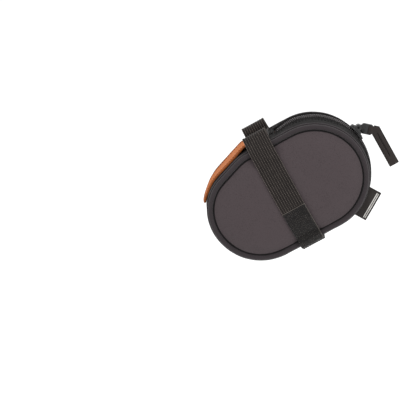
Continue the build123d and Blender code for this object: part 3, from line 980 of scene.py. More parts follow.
# ---- gusset and lining --------------------------------------------------------------------
@dataclass
class Gusset:
    """The cloth band between the sides: whole at the front, two strips beside the zip behind."""

    thickness: float = 1.2 * MM
    strip_edge: float = 12.0 * MM
    fold_radius: float = 0.75 * MM
    overlap: float = 1.5 * MM
    step: float = 1.6 * MM
    ridge_y: float = 24.7 * MM
    ridge_radius: float = 0.85 * MM
    lining_inner: float = 14.4 * MM
    lining_edge: float = 24.2 * MM
    lining_thickness: float = 0.4 * MM
    sheet_inset: float = 2.6 * MM   # of the side lining's edge, hidden behind the seam ridge
    sheet_reach: float = 28 * MM    # of the side lining, inward from that edge

    def band_section(self, s: float, low: float, high: float, drop: float,
                     thickness: float) -> list[tuple[float, float]]:
        """A crowned band's closed section between two depths."""
        count = 10
        outer = []
        inner = []
        for k in range(count + 1):
            y = low + (high - low) * k / count
            rise = crown(s, y) - drop
            outer.append((y, rise))
            inner.append((y, rise - thickness))
        return outer + inner[::-1]

    def build(self) -> None:
        """Makes the front band, the rear strips, their folded edges and the lining."""
        front = sweep("gusset_band", LINE.steps(MOUTH_BOTTOM, LINE.total + MOUTH_TOP, self.step),
                      lambda s: self.band_section(s, -GUSSET_EDGE, GUSSET_EDGE, 0.0, self.thickness))
        wrinkle(front, 14 * MM, 0.25 * MM, 1.7)
        smooth(front, 50)
        settle(front, "gusset_cloth", "bag", ["gusset_front"])
        for side in Side:
            self.build_strip(side)
            self.build_piping(side)
            self.build_lining(side)
        belt = sweep("lining_belt", LINE.steps(MOUTH_BOTTOM, LINE.total + MOUTH_TOP, 3 * MM),
                     lambda s: self.band_section(s, -self.lining_edge, self.lining_edge, 1.5 * MM,
                                                 self.lining_thickness))
        smooth(belt, 50)
        settle(belt, "lining_cloth", "bag", ["lining_front"])

    def build_strip(self, side: Side) -> None:
        """Makes one rear strip, its folded edge and its two rows of stitches."""
        name = side.name.lower()
        sign = side.value
        stations = LINE.steps(MOUTH_TOP - self.overlap, MOUTH_BOTTOM + self.overlap, self.step)
        inner = self.strip_edge

        def section(s: float) -> list[tuple[float, float]]:
            """The strip's section, from its fold to the rolled edge."""
            low, high = sorted((sign * inner, sign * GUSSET_EDGE))
            return self.band_section(s, low, high, -0.12 * MM, self.thickness)

        strip = sweep(f"gusset_strip_{name}", stations, section)
        fold = sweep(f"gusset_fold_{name}", stations, lambda s: ring_section(
            sign * inner, crown(s, inner) - 0.30 * MM, self.fold_radius, 10))
        piece = join(f"gusset_strip_{name}", [strip, fold])
        wrinkle(piece, 11 * MM, 0.2 * MM, 5.0 + sign)
        smooth(piece, 50)
        settle_bending(piece, "gusset_cloth", [f"gusset_rear_{name}"])
        for row, depth in enumerate((13.6 * MM, 16.0 * MM)):
            route = outline_route(MOUTH_TOP + 2 * MM, MOUTH_BOTTOM - 2 * MM, lambda s: sign * depth,
                                  lambda s: crown(s, depth) + 0.16 * MM)
            thread = stitch_row(f"strip_stitches_{name}_{row}", route, "dark_thread")
            settle_bending(thread, "gusset_cloth")

    def build_piping(self, side: Side) -> None:
        """Makes the seam ridge where the gusset meets the rolled edge."""
        name = side.name.lower()
        y = side.value * self.ridge_y
        ridge = sweep(f"seam_ridge_{name}", LINE.steps(0, LINE.total, 1.8 * MM)[:-1],
                      lambda s: ring_section(y, crown(s, y) - 0.05 * MM, self.ridge_radius, 8),
                      looped=True)
        wrinkle(ridge, 9 * MM, 0.12 * MM, 8.0 + side.value)
        smooth(ridge, 80)
        # the seam ridge takes the roll's finish, darkened as painted shade
        settle_bending(ridge, "edge_roll")

    def build_lining(self, side: Side) -> None:
        """Makes the lining of one rear wall and of the side it belongs to."""
        name = side.name.lower()
        sign = side.value
        low, high = sorted((sign * self.lining_inner, sign * self.lining_edge))
        stations = LINE.steps(MOUTH_TOP - self.overlap, MOUTH_BOTTOM + self.overlap, 3 * MM)
        belt = sweep(f"lining_belt_{name}", stations,
                     lambda s: self.band_section(s, low, high, 1.35 * MM, self.lining_thickness))
        rings = []
        for share in (0.0, 0.15, 0.4, 0.7, 1.0):
            inset = self.sheet_inset + self.sheet_reach * share
            y = sign * (24.3 - 0.5 * math.sin(share * math.pi)) * MM
            rings.append([LINE.point(s, y, -inset) for s in LINE.steps(0, LINE.total, 4 * MM)[:-1]])
        sheet = loft(f"lining_sheet_{name}", rings)
        add_modifier(sheet, "SOLIDIFY", thickness=self.lining_thickness, offset=0.0)
        piece = join(f"lining_wall_{name}", [belt, sheet])
        smooth(piece, 50)
        settle_bending(piece, "lining_cloth", [f"lining_{name}"])


def ring_section(y: float, rise: float, radius: float, count: int) -> list[tuple[float, float]]:
    """A round section about a place in depth and rise.

    Args:
        y: the middle's depth.
        rise: the middle's rise past the outline.
        radius: the radius.
        count: how many points.

    Returns:
        The section's points.
    """
    return [(y + radius * math.cos(math.tau * k / count), rise + radius * math.sin(math.tau * k / count))
            for k in range(count)]


# ---- the zip ------------------------------------------------------------------------------
@dataclass
class Zip:
    """Two tapes and two coils, meshed below the slider and parted above it."""

    tape_edge: float = 14.0 * MM
    tape_inner: float = 1.0 * MM
    tape_drop: float = 1.3 * MM
    tape_thickness: float = 0.6 * MM
    tooth_pitch: float = 1.3 * MM
    tooth_length: float = 2.5 * MM
    tooth_height: float = 1.35 * MM
    tooth_width: float = 0.62 * MM
    parting: float = 0.6 * MM

    def part(self, s: float) -> float:
        """How far each coil stands off the middle plane at a distance round."""
        above = between(0.0, 12 * MM, SLIDER_S - s - 3 * MM)
        closing = between(0.0, 14 * MM, s - MOUTH_TOP)
        return self.parting * above * closing

    def build(self) -> None:
        """Makes both halves."""
        for side in Side:
            self.build_tape(side)
            self.build_coil(side)

    def build_tape(self, side: Side) -> None:
        """Makes one tape with its two rows of stitches."""
        name = side.name.lower()
        sign = side.value
        count = 10

        def section(s: float) -> list[tuple[float, float]]:
            """The tape's section, from its inner edge beside the coil to its outer one."""
            inner = self.tape_inner + self.part(s)
            outer, under = [], []
            for k in range(count + 1):
                y = inner + (self.tape_edge - inner) * k / count
                rise = crown(s, y) - self.tape_drop
                outer.append((sign * y, rise))
                under.append((sign * y, rise - self.tape_thickness))
            return outer + under[::-1]

        tape = sweep(f"tape_cloth_{name}", LINE.steps(MOUTH_TOP, MOUTH_BOTTOM, 1.5 * MM), section)
        smooth(tape, 50)
        settle_bending(tape, "zip_tape", [f"zip_tape_{name}"])
        for row, depth in enumerate((4.3 * MM, 10.6 * MM)):
            route = outline_route(
                MOUTH_TOP + 2 * MM, MOUTH_BOTTOM - 2 * MM, lambda s: sign * (depth + self.part(s)),
                lambda s: crown(s, depth) - self.tape_drop + 0.04 * MM)
            thread = stitch_row(f"tape_stitches_{name}_{row}", route, "dark_thread", 1.9 * MM, 0.18 * MM)
            settle_bending(thread, "zip_tape")

    def tooth(self) -> bpy.types.Object:
        """One turn of the coil: a bar with rounded edges."""
        deselect_all()
        bpy.ops.mesh.primitive_cube_add(size=1.0)
        model = bpy.context.object
        model.scale = (self.tooth_width, self.tooth_length, self.tooth_height)
        bpy.ops.object.transform_apply(location=False, rotation=False, scale=True)
        add_modifier(model, "BEVEL", width=0.2 * MM, segments=2, limit_method="NONE")
        return model

    def build_coil(self, side: Side) -> None:
        """Makes one coil: its turns along the tape's edge, and the cord sewn through them."""
        name = side.name.lower()
        sign = side.value
        foot = self.tape_drop - 0.05 * MM
        places = []
        s = MOUTH_TOP + 3 * MM + (0.5 * self.tooth_pitch if side is Side.RIGHT else 0.0)
        while s < MOUTH_BOTTOM - 3 * MM:
            middle = 0.5 * self.tooth_length - 0.25 * MM + self.part(s)
            spot, normal = LINE.spot(s)
            along = Vector((normal.y, 0, -normal.x))
            up = Vector((normal.x, 0, normal.y))
            rise = crown(s, 1 * MM) - foot + self.tooth_height / 2
            centre = Vector((spot.x, sign * middle, spot.y)) + up * rise
            lean = Matrix.Rotation(math.radians(9 * sign), 3, "Z")
            turn = Matrix((along, Vector((0, 1, 0)), up)).transposed() @ lean
            places.append(Matrix.Translation(centre) @ turn.to_4x4())
            s += self.tooth_pitch
        coil = copies(f"coil_turns_{name}", self.tooth(), places)
        cord = sweep(f"coil_cord_{name}", LINE.steps(MOUTH_TOP + 2 * MM, MOUTH_BOTTOM - 2 * MM, 1.6 * MM),
                     lambda s: ring_section(sign * (1.75 * MM + self.part(s)),
                                            crown(s, 1 * MM) - foot + self.tooth_height, 0.22 * MM, 6))
        smooth(cord, 80)
        # the coil's light grey finish is painted highlight
        settle_bending(coil, "zip_coil", [f"zip_coil_{name}"])
        settle_bending(cord, "zip_tape")


# ---- the slider and its pull ----------------------------------------------------------------
def plate(name: str, outline: Sequence[tuple[float, float]], low: float, high: float,
          bevel: float) -> bpy.types.Object:
    """A flat plate with rounded edges, from an outline in X and Y.

    Args:
        name: the piece's name.
        outline: its corners, anticlockwise.
        low: its lower face's height.
        high: its upper face's height.
        bevel: the edge's radius.

    Returns:
        The plate.
    """
    deselect_all()
    bpy.ops.mesh.primitive_circle_add(vertices=len(outline), fill_type="NGON")
    piece = bpy.context.object
    for vertex, (x, y) in zip(piece.data.vertices, outline):
        vertex.co = Vector((x, y, low))
    bpy.ops.object.mode_set(mode="EDIT")
    bpy.ops.mesh.select_all(action="SELECT")
    bpy.ops.mesh.extrude_region_move(TRANSFORM_OT_translate={"value": (0, 0, high - low)})
    bpy.ops.mesh.select_all(action="SELECT")
    bpy.ops.mesh.normals_make_consistent(inside=False)
    bpy.ops.object.mode_set(mode="OBJECT")
    if bevel:
        add_modifier(piece, "BEVEL", width=bevel, segments=3, limit_method="ANGLE")
    piece.name = name
    return piece


def rounded(half_x: float, half_y: float, radius: float, steps: int = 5) -> list[tuple[float, float]]:
    """A rectangle's outline with round corners, anticlockwise about the origin."""
    points = []
    for corner, (sx, sy) in enumerate(((1, 1), (-1, 1), (-1, -1), (1, -1))):
        for k in range(steps + 1):
            angle = math.pi / 2 * (corner + k / steps)
            points.append((sx * (half_x - radius) + radius * math.cos(angle),
                           sy * (half_y - radius) + radius * math.sin(angle)))
    return points


@dataclass
class Slider:
    """The enamelled slider: two shaped plates, the post, guide flanges and the pin's lugs."""

    half_length: float = 6.0 * MM
    head_half_width: float = 4.6 * MM
    tail_half_width: float = 3.5 * MM
    lift: float = 3.15 * MM         # upper plate's underside above the outline
    thickness: float = 1.1 * MM
    polar: float = 14.4

    def shape(self, margin: float = 0.0) -> list[tuple[float, float]]:
        """The plates' outline: broad shoulders at the head, narrow at the tail."""
        a, b, c = self.half_length - margin, self.head_half_width - margin, self.tail_half_width - margin
        return [
            (a, -b * 0.45), (a, b * 0.45), (a * 0.72, b * 0.92), (a * 0.2, b), (-a * 0.35, c * 1.04),
            (-a * 0.92, c), (-a, c * 0.75), (-a, -c * 0.75), (-a * 0.92, -c), (-a * 0.35, -c * 1.04),
            (a * 0.2, -b), (a * 0.72, -b * 0.92),
        ]

    def place(self, piece: bpy.types.Object) -> None:
        """Bends a part drawn flat (X to the head, Z outward) round the rear arc."""
        radius = LINE.rear_radius
        start = math.radians(self.polar)
        for vertex in piece.data.vertices:
            x, y, z = vertex.co
            angle = start + x / radius
            reach = radius + z
            vertex.co = Vector((REAR_CENTRE.x + reach * math.cos(angle), y,
                                REAR_CENTRE.z + reach * math.sin(angle)))

    def build(self) -> None:
        """Makes the slider."""
        top = self.lift + self.thickness
        parts = [plate("upper", self.shape(), self.lift, top, 0.35 * MM)]
        parts.append(plate("crest", self.shape(1.3 * MM), top - 0.1 * MM, top + 0.35 * MM, 0.25 * MM))
        parts.append(plate("lower", self.shape(0.4 * MM), -0.7 * MM, 0.15 * MM, 0.25 * MM))
        post = plate("post", rounded(1.7 * MM, 0.3 * MM, 0.25 * MM, 3), 0.0, self.lift + 0.2 * MM, 0.0)
        post.data.transform(Matrix.Translation((3.7 * MM, 0, 0)))
        parts.append(post)
        for sign in (-1, 1):
            flange = plate("flange", rounded(3.6 * MM, 0.32 * MM, 0.3 * MM, 3), self.lift - 0.95 * MM,
                           self.lift + 0.2 * MM, 0.1 * MM)
            flange.data.transform(Matrix.Translation((-1.4 * MM, sign * 3.35 * MM, 0)))
            parts.append(flange)
        for part in parts:
            add_modifier(part, "SUBSURF", levels=1, render_levels=1, subdivision_type="SIMPLE")
            self.place(part)
        parts += [self.lug(sign) for sign in (-1, 1)]
        body = join("zip_slider_body", parts)
        outward(body)
        smooth(body, 35)
        settle(body, "slider_enamel", "zip_slider", ["slider_body"])

    def lug(self, sign: int) -> bpy.types.Object:
        """One ear that holds the pin: a round head on a flared foot."""
        up = (PIN - REAR_CENTRE).normalized()
        along = up.cross(Vector((0, 1, 0)))
        reach = (PIN - REAR_CENTRE).length - LINE.rear_radius - self.lift - self.thickness
        outline = [(5.0 * MM, -reach - 0.5 * MM), (4.5 * MM, -reach + 0.9 * MM)]
        steps = 12
        for k in range(steps + 1):
            angle = math.radians(-20 + 220 * k / steps)
            outline.append((2.35 * MM * math.cos(angle), 2.35 * MM * math.sin(angle)))
        outline += [(-4.5 * MM, -reach + 0.9 * MM), (-5.0 * MM, -reach - 0.5 * MM)]
        ear = plate("lug", outline, -0.5 * MM, 0.5 * MM, 0.22 * MM)
        turn = Matrix((along, up, along.cross(up))).transposed().to_4x4()
        ear.data.transform(Matrix.Translation(PIN + Vector((0, sign * 2.15 * MM, 0))) @ turn)
        return ear


@dataclass
class Pull:
    """The moulded tab on the slider's pin, and the folded tape looped through it."""

    tab_angle: float = -12.0
    tape_angle: float = -61.0
    neck: float = 2.3 * MM
    tab_end: float = 10.3 * MM
    tab_height: float = 7.8 * MM
    tab_thickness: float = 2.6 * MM
    eye_radius: float = 2.2 * MM
    bar_reach: float = 9.0 * MM
    bar_radius: float = 0.7 * MM
    tape_width: float = 7.3 * MM
    tape_thickness: float = 1.4 * MM
    tape_start: float = 11.2 * MM
    tape_knee: float = 13.3 * MM
    tape_length: float = 28.7 * MM

    @property
    def level(self) -> Matrix:
        """Sets a shape drawn from the pin, X level and rearward, Z up, into the bag's frame."""
        turn = BAG.matrix.to_3x3().inverted().to_4x4()
        return Matrix.Translation(PIN) @ turn

    def build(self) -> None:
        """Makes the tab and the tape."""
        self.build_tab()
        self.build_tape()

    def build_tab(self) -> None:
        """Makes the tab: rounded block, neck and eye, with the window and the pin's hole cut."""
        half = self.tab_height / 2
        outline = []
        for k in range(13):
            angle = math.radians(110 + 140 * k / 12)
            outline.append((self.eye_radius * math.cos(angle), self.eye_radius * math.sin(angle)))
        outline += [(self.neck - 0.6 * MM, -self.eye_radius * 1.02), (self.neck + 0.3 * MM, -half + 0.5 * MM),
                    (self.neck + 1.1 * MM, -half)]
        outline += [(self.tab_end - 0.7 * MM, -half), (self.tab_end, -half + 0.6 * MM),
                    (self.tab_end, half - 0.6 * MM), (self.tab_end - 0.7 * MM, half)]
        outline += [(self.neck + 1.1 * MM, half), (self.neck + 0.3 * MM, half - 0.5 * MM),
                    (self.neck - 0.6 * MM, self.eye_radius * 1.02)]
        upright = Matrix.Rotation(math.radians(90), 4, "X")
        tab = plate("pull_tab_moulding", outline, -self.tab_thickness / 2, self.tab_thickness / 2, 0.0)
        tab.data.transform(upright)
        cutters = []
        bpy.ops.mesh.primitive_cube_add(size=1.0, location=(self.bar_reach + 0.4 * MM, 0, 0),
                                        scale=(4.4 * MM, 9 * MM, self.tab_height - 1.6 * MM))
        cutters.append(bpy.context.object)
        bpy.ops.mesh.primitive_cylinder_add(vertices=24, radius=0.98 * MM, depth=9 * MM,
                                            rotation=(math.pi / 2, 0, 0))
        cutters.append(bpy.context.object)
        for cutter in cutters:
            add_modifier(tab, "BOOLEAN", object=cutter, operation="DIFFERENCE", solver="EXACT")
            bpy.data.objects.remove(cutter)
        add_modifier(tab, "BEVEL", width=0.35 * MM, segments=3, limit_method="ANGLE")
        deselect_all()
        bpy.ops.mesh.primitive_cylinder_add(vertices=20, radius=self.bar_radius,
                                            depth=self.tab_height - 0.8 * MM, location=(self.bar_reach, 0, 0))
        bar = bpy.context.object
        bar.data.transform(bar.matrix_world)
        bar.matrix_world = Matrix.Identity(4)
        ribs = []
        for k in range(3):
            rib = plate("rib", rounded(0.28 * MM, 2.2 * MM, 0.27 * MM, 3), -self.tab_thickness / 2 - 0.2 * MM,
                        self.tab_thickness / 2 + 0.2 * MM, 0.12 * MM)
            rib.data.transform(Matrix.Translation((self.neck + (0.9 + 0.95 * k) * MM, 0, 0)) @ upright)
            ribs.append(rib)
        whole = join("pull_tab_moulding", [tab, bar] + ribs)
        turn = Matrix.Rotation(-math.radians(self.tab_angle), 4, "Y")
        whole.data.transform(self.level @ turn)
        smooth(whole, 35)
        settle(whole, "tab_plastic", "zip_pull", ["pull_tab"])

    def spine(self) -> tuple[list[Vector], list[Vector]]:
        """The tape's middle line with its mitred turn, and the half-width vector at each point."""
        first, second = math.radians(self.tab_angle), math.radians(self.tape_angle)
        ahead = Vector((math.cos(first), 0, math.sin(first)))
        down = Vector((math.cos(second), 0, math.sin(second)))
        half = self.tape_width / 2
        out_first = Vector((-math.sin(first), 0, math.cos(first))) * half
        out_second = Vector((-math.sin(second), 0, math.cos(second))) * half
        mitre = (out_first + out_second) / (1 + out_first.dot(out_second) / half ** 2)
        start, knee = ahead * self.tape_start, ahead * self.tape_knee
        end = knee + down * self.tape_length
        points, widths = [], []
        for k in range(4):
            points.append(start.lerp(knee, k / 3))
            widths.append(out_first.lerp(mitre, k / 3))
        for k in range(1, 41):
            points.append(knee.lerp(end, k / 40))
            widths.append(mitre.lerp(out_second, k / 40))
        return points, widths

    def build_tape(self) -> None:
        """Makes the folded tape, its loop round the bar, its selvedges and its stitches."""
        points, widths = self.spine()
        count = 18
        rings = []
        for row, (point, wide) in enumerate(zip(points, widths)):
            share = row / (len(points) - 1)
            open_seam = between(0.12, 0.2, share) * (1 - between(0.74, 0.8, share))
            bow = 0.35 * MM * math.sin(share * 5.0) + 0.12 * MM * noise.noise(Vector((share * 7, 2, 0)))
            near, far = [], []
            for k in range(count + 1):
                across = 1 - 2 * k / count
                thick = self.tape_thickness / 2 * (1 - 0.75 * abs(across) ** 8)
                thick *= 1 - 0.75 * open_seam * math.exp(-(across / 0.10) ** 2)
                rim = 0.07 * MM * noise.noise(Vector((share * 30, across * 3, 5)))
                near.append(point + wide * across + Vector((0, bow - thick - rim, 0)))
                far.append(point + wide * across + Vector((0, bow + thick + rim, 0)))
            rings.append(near + far[::-1])
        tape = loft("pull_tape_body", rings)
        angle = math.radians(self.tab_angle)
        axis = Vector((-math.sin(angle), 0, math.cos(angle)))
        ahead = Vector((math.cos(angle), 0, math.sin(angle)))
        loop_rings = []
        for level in (-1.0, -0.96, 0.96, 1.0):
            ring = []
            narrow = 0.85 if abs(level) == 1.0 else 1.0
            for k in range(24):
                turn = math.tau * k / 24
                reach = 1.85 * MM * narrow
                ring.append(ahead * (self.bar_reach + reach * math.cos(turn) * 1.15)
                            + Vector((0, reach * math.sin(turn), 0)) + axis * level * 3.0 * MM)
            loop_rings.append(ring)
        loop = loft("tape_loop", loop_rings)
        neck_rings = []
        for k in range(5):
            share = k / 4
            run = self.tape_start - self.bar_reach - 1.5 * MM
            centre = ahead * (self.bar_reach + 1.6 * MM + share * run)
            wide = axis * (2.35 * MM + share ** 2 * (self.tape_width / 2 - 2.35 * MM))
            thick = Vector((0, (1.3 - 0.6 * share) * MM, 0))
            neck_rings.append([centre + wide + thick, centre + wide - thick, centre - wide - thick,
                               centre - wide + thick])
        neck = loft("tape_neck", neck_rings)
        add_modifier(neck, "BEVEL", width=0.3 * MM, segments=2, limit_method="ANGLE")
        whole = join("pull_tape_folded", [tape, loop, neck])
        whole.data.transform(self.level)
        smooth(whole, 50)
        settle(whole, "pull_webbing", "pull_tape", ["pull_tape"])
        self.build_trim(points, widths)

    def build_trim(self, points: list[Vector], widths: list[Vector]) -> None:
        """Makes the tape's dark selvedges and its stitched seam."""
        edges = []
        for sign in (-1, 1):
            rings = []
            for point, wide in zip(points, widths):
                centre = point + wide * sign * 0.97
                out = wide.normalized()
                rings.append([centre + out * 0.28 * MM * math.cos(math.tau * k / 8)
                              + Vector((0, 0.42 * MM * math.sin(math.tau * k / 8), 0)) for k in range(8)])
            edges.append(loft("selvedge", rings))
        selvedges = join("pull_tape_selvedges", edges)
        selvedges.data.transform(self.level)
        smooth(selvedges, 60)
        restitch(selvedges, "dark_thread")
        settle(selvedges, "pull_webbing", "pull_tape")
        for sign in (-1, 1):
            route = [(self.level @ (point + Vector((0, sign * 0.62 * MM, 0)) + wide * 0.0),
                      self.level.to_3x3() @ Vector((0, sign, 0))) for point, wide in
                     list(zip(points, widths))[6:-3]]
            thread = stitch_row(f"pull_tape_stitches_{'far' if sign > 0 else 'near'}", route, "dark_thread",
                                1.7 * MM, 0.2 * MM)
            settle(thread, "pull_webbing", "pull_tape")


# ---- the strap ------------------------------------------------------------------------------
@dataclass
class Strap:
    """The strap: elastic over both rails and down the sides, closed under the bag by its tail."""

    panels: SidePanels
    width: float = 18.0 * MM
    thickness: float = 1.3 * MM
    ribs: int = 10
    rib_height: float = 0.42 * MM
    rail: tuple[float, float] = (22.0 * MM, 85.5 * MM)
    loop_radius: float = 4.15 * MM
    anchor_edge: float = 16.65 * MM
    anchor_w: float = 81.6 * MM
    patch_top: float = 28.7 * MM
    patch_thickness: float = 1.6 * MM
    tail_end: float = -20.5 * MM
    tail_w: float = -4.05 * MM
    clearance: float = 0.1 * MM

    def over_rail(self) -> list[tuple[float, float]]:
        """The middle line from the anchor's end round the rail, as (|Y|, W)."""
        y, w = self.rail
        inner = y - self.loop_radius
        line = [(self.anchor_edge - 5 * MM, self.anchor_w), (self.anchor_edge - 1.2 * MM, self.anchor_w)]
        line += [(inner - 0.4 * MM, self.anchor_w + 0.5 * MM), (inner, self.anchor_w + 1.7 * MM), (inner, w)]
        for k in range(1, 9):
            angle = math.radians(180 - 140 * k / 8)
            line.append((y + self.loop_radius * math.cos(angle), w + self.loop_radius * math.sin(angle)))
        return line

    def down_side(self) -> list[tuple[float, float]]:
        """The middle line from the rail to the patch's top, as (|Y|, W)."""
        return [(26.15 * MM, 85.5 * MM), (31.6 * MM, 77.5 * MM), (34.8 * MM, 66.0 * MM),
                (36.9 * MM, 52.0 * MM), (36.9 * MM, self.patch_top)]

    def smooth_line(self, line: Sequence[tuple[float, float]], pitch: float = 1.0 * MM,
                    rounds: int = 3) -> list[Vector]:
        """Rounds a line's corners and sets its points about pitch apart, as (|Y|, W)."""
        points = [Vector(p) for p in line]
        for _ in range(rounds):
            cut = [points[0]]
            for a, b in zip(points[:-1], points[1:]):
                cut += [a.lerp(b, 0.25), a.lerp(b, 0.75)]
            points = cut + [points[-1]]
        even = [points[0]]
        for a, b in zip(points[:-1], points[1:]):
            while (b - even[-1]).length > pitch and (b - a).length > 0:
                even.append(even[-1] + (b - even[-1]).normalized() * pitch)
        even.append(points[-1])
        return even

    def lay(self, line: Sequence[Vector], side: Side, thickness: float, high: float,
            low: float) -> list[list[tuple[Vector, Vector]]]:
        """Lays a band on the panel: rows of middle points and outward normals.

        Args:
            line: the middle line, as (|Y|, W).
            side: the side of the bag.
            thickness: the band's thickness.
            high: the height above which the band leaves the panel.
            low: the height below which it leaves the panel.

        Returns:
            For each row along the line, its points across with their normals.
        """
        rows = []
        across = 4 * self.ribs
        for k, place in enumerate(line):
            ahead = line[min(k + 1, len(line) - 1)] - line[max(k - 1, 0)]
            normal = Vector((0, -ahead.y, ahead.x)).normalized()
            flip = Vector((1, side.value, 1))
            weight = (1 - between(high, high + 8 * MM, place.y)) * between(low - 6 * MM, low, place.y)
            row = []
            for j in range(across + 1):
                x = STRAP_U + self.width * (j / across - 0.5)
                point = Vector((x, place.x, place.y))
                if weight > 0:
                    start = Vector((x, -60 * MM, place.y))
                    hit = self.panels.surface.ray_cast(start, Vector((0, 1, 0)))[0]
                    if hit is not None:
                        wanted = -hit.y + thickness / 2 + self.clearance
                        point.y += (wanted - point.y) * weight
                row.append((point * flip, Vector((0, normal.y, normal.z)) * flip))
            rows.append(row)
        return rows

    def band(self, name: str, rows: list[list[tuple[Vector, Vector]]], thickness: float,
             ribbed: bool) -> bpy.types.Object:
        """Gives laid rows their thickness, ribs and rounded selvedges.

        Args:
            name: the piece's name.
            rows: the laid points and normals.
            thickness: the band's thickness.
            ribbed: whether the cords stand out on both faces.

        Returns:
            The piece.
        """
        rings = []
        for number, row in enumerate(rows):
            outer, inner = [], []
            last = len(row) - 1
            for j, (point, normal) in enumerate(row):
                edge = abs(2 * j / last - 1)
                half = thickness / 2 * (1 - 0.6 * between(0.955, 1.0, edge))
                if ribbed:
                    cord = abs(math.sin(math.pi * self.ribs * j / last)) ** 0.6
                    half -= self.rib_height * (1 - cord) * (1 - between(0.93, 0.97, edge))
                    half += 0.03 * MM * math.sin(number * 2.4)
                outer.append(point + normal * half)
                inner.append(point - normal * half * (0.9 if ribbed else 1.0))
            rings.append(outer + inner[::-1])
        piece = loft(name, rings)
        outward(piece)
        smooth(piece, 60)
        return piece

    def valley_threads(self, name: str, rows: list[list[tuple[Vector, Vector]]]) -> bpy.types.Object:
        """Makes the dotted lines of pale picks between the cords."""
        parts = []
        across = len(rows[0]) - 1
        for rib in range(self.ribs + 1):
            j = min(across, rib * across // self.ribs)
            sunk = 0.0 if rib in (0, self.ribs) else self.rib_height
            half = self.thickness / 2 - sunk
            if rib in (0, self.ribs):
                half = self.thickness / 2 * 0.62
            route = [(row[j][0] + row[j][1] * half, row[j][1]) for row in rows]
            parts.append(stitch_row("picks", route, "pale_thread", 1.25 * MM, 0.17 * MM))
        return join(name, parts)

    def build(self) -> None:
        """Makes the anchor, both elastics, the patch, the tail and the hooks."""
        self.build_anchor()
        self.build_near()
        self.build_far()
        self.build_patch()
        self.build_hooks()

    def build_anchor(self) -> None:
        """Makes the webbing sewn to the top of the bag, with its box of stitches."""
        deselect_all()
        bpy.ops.mesh.primitive_grid_add(x_subdivisions=18, y_subdivisions=32, size=1.0)
        anchor = bpy.context.object
        anchor.scale = (self.width - 0.3 * MM, 2 * self.anchor_edge, 1.0)
        bpy.ops.object.transform_apply(location=False, rotation=False, scale=True)
        anchor.data.transform(Matrix.Translation((STRAP_U, 0, self.anchor_w)))
        add_modifier(anchor, "SOLIDIFY", thickness=1.25 * MM, offset=0.0)
        add_modifier(anchor, "BEVEL", width=0.3 * MM, segments=2, limit_method="ANGLE")
        wrinkle(anchor, 6 * MM, 0.12 * MM, 2.0)
        anchor.name = "strap_anchor_webbing"
        smooth(anchor, 50)
        settle(anchor, "elastic", "bag", ["strap_anchor"])
        x, y, top = 6.6 * MM, 14.0 * MM, self.anchor_w + 0.62 * MM
        corners = [(-x, -y), (x, -y), (x, y), (-x, y), (-x, -y), (x, y)]
        parts = []
        for (ax, ay), (bx, by) in zip(corners[:-1], corners[1:]):
            route = [(Vector((STRAP_U + ax + (bx - ax) * k / 12, ay + (by - ay) * k / 12, top)),
                      Vector((0, 0, 1))) for k in range(13)]
            parts.append(stitch_row("box", route, "dark_thread", 2.0 * MM, 0.2 * MM))
        box = join("strap_box_stitches", parts)
        settle(box, "elastic", "bag")

    def build_near(self) -> None:
        """Makes the left elastic, from the anchor over the rail to the patch."""
        line = self.smooth_line(self.over_rail() + self.down_side())
        rows = self.lay(line, Side.LEFT, self.thickness, 66 * MM, 0.0)
        elastic = self.band("elastic_left", rows, self.thickness, True)
        picks = self.valley_threads("elastic_picks_left", rows)
        for piece, nodes in ((elastic, ["strap_loop_left", "elastic_arm_left"]), (picks, [])):
            piece.data.transform(BAG.matrix)
            dress(piece, "elastic", nodes)
            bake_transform(piece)

    def build_far(self) -> None:
        """Makes the right elastic: over the rail, down the far side and under the bag to its tail."""
        under = [(35.9 * MM, 15.0 * MM), (31.4 * MM, 0.8 * MM), (27.5 * MM, -1.7 * MM),
                 (22 * MM, -1.75 * MM), (8 * MM, -1.75 * MM), (4 * MM, -3.4 * MM),
                 (0.5 * MM, self.tail_w), (self.tail_end, self.tail_w)]
        line = self.smooth_line(self.over_rail() + self.down_side() + under)
        rows = self.lay(line, Side.RIGHT, self.thickness, 66 * MM, 14 * MM)
        elastic = self.band("elastic_right", rows, self.thickness * 0.75, True)
        picks = self.valley_threads("elastic_picks_right", rows)
        for piece, nodes in ((elastic, ["strap_loop_right", "strap_arm_right", "strap_tail"]), (picks, [])):
            piece.data.transform(BAG.matrix)
            dress(piece, "elastic", nodes)
            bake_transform(piece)

    def build_patch(self) -> None:
        """Makes the brushed loop patch, its pile, and its cut and woven edges."""
        line = self.smooth_line([(36.9 * MM, self.patch_top - 0.05 * MM), (36.6 * MM, 20 * MM),
                                 (35.9 * MM, 12.0 * MM), (31.6 * MM, 0.4 * MM), (29.0 * MM, -1.95 * MM),
                                 (-2.0 * MM, -1.95 * MM)], 0.6 * MM)
        rows = self.lay(line, Side.LEFT, self.patch_thickness, 66 * MM, 8 * MM)
        patch = self.band("loop_patch_mat", rows, self.patch_thickness * 0.8, False)
        for vertex in patch.data.vertices:
            grain = noise.noise(vertex.co / (1.1 * MM)) + 0.6 * noise.noise(vertex.co / (0.5 * MM))
            vertex.co += vertex.normal * max(0.0, grain) * 0.45 * MM
        settle(patch, "loop_cloth", "strap_arm", ["loop_patch"])
        self.build_pile(rows)
        half = self.patch_thickness * 0.4
        top = [(point + normal * half, normal) for point, normal in rows[0]]
        rear = [(row[-1][0] + row[-1][1] * half * 0.8, row[-1][1]) for row in rows]
        cut = stitch_row("patch_cut_edge", top, "edge_thread", 0.8 * MM, 0.28 * MM)
        selvedge = stitch_row("patch_selvedge", rear, "edge_thread", 1.1 * MM, 0.24 * MM)
        edges = join("loop_patch_edges", [cut, selvedge])
        settle(edges, "loop_cloth", "strap_arm")

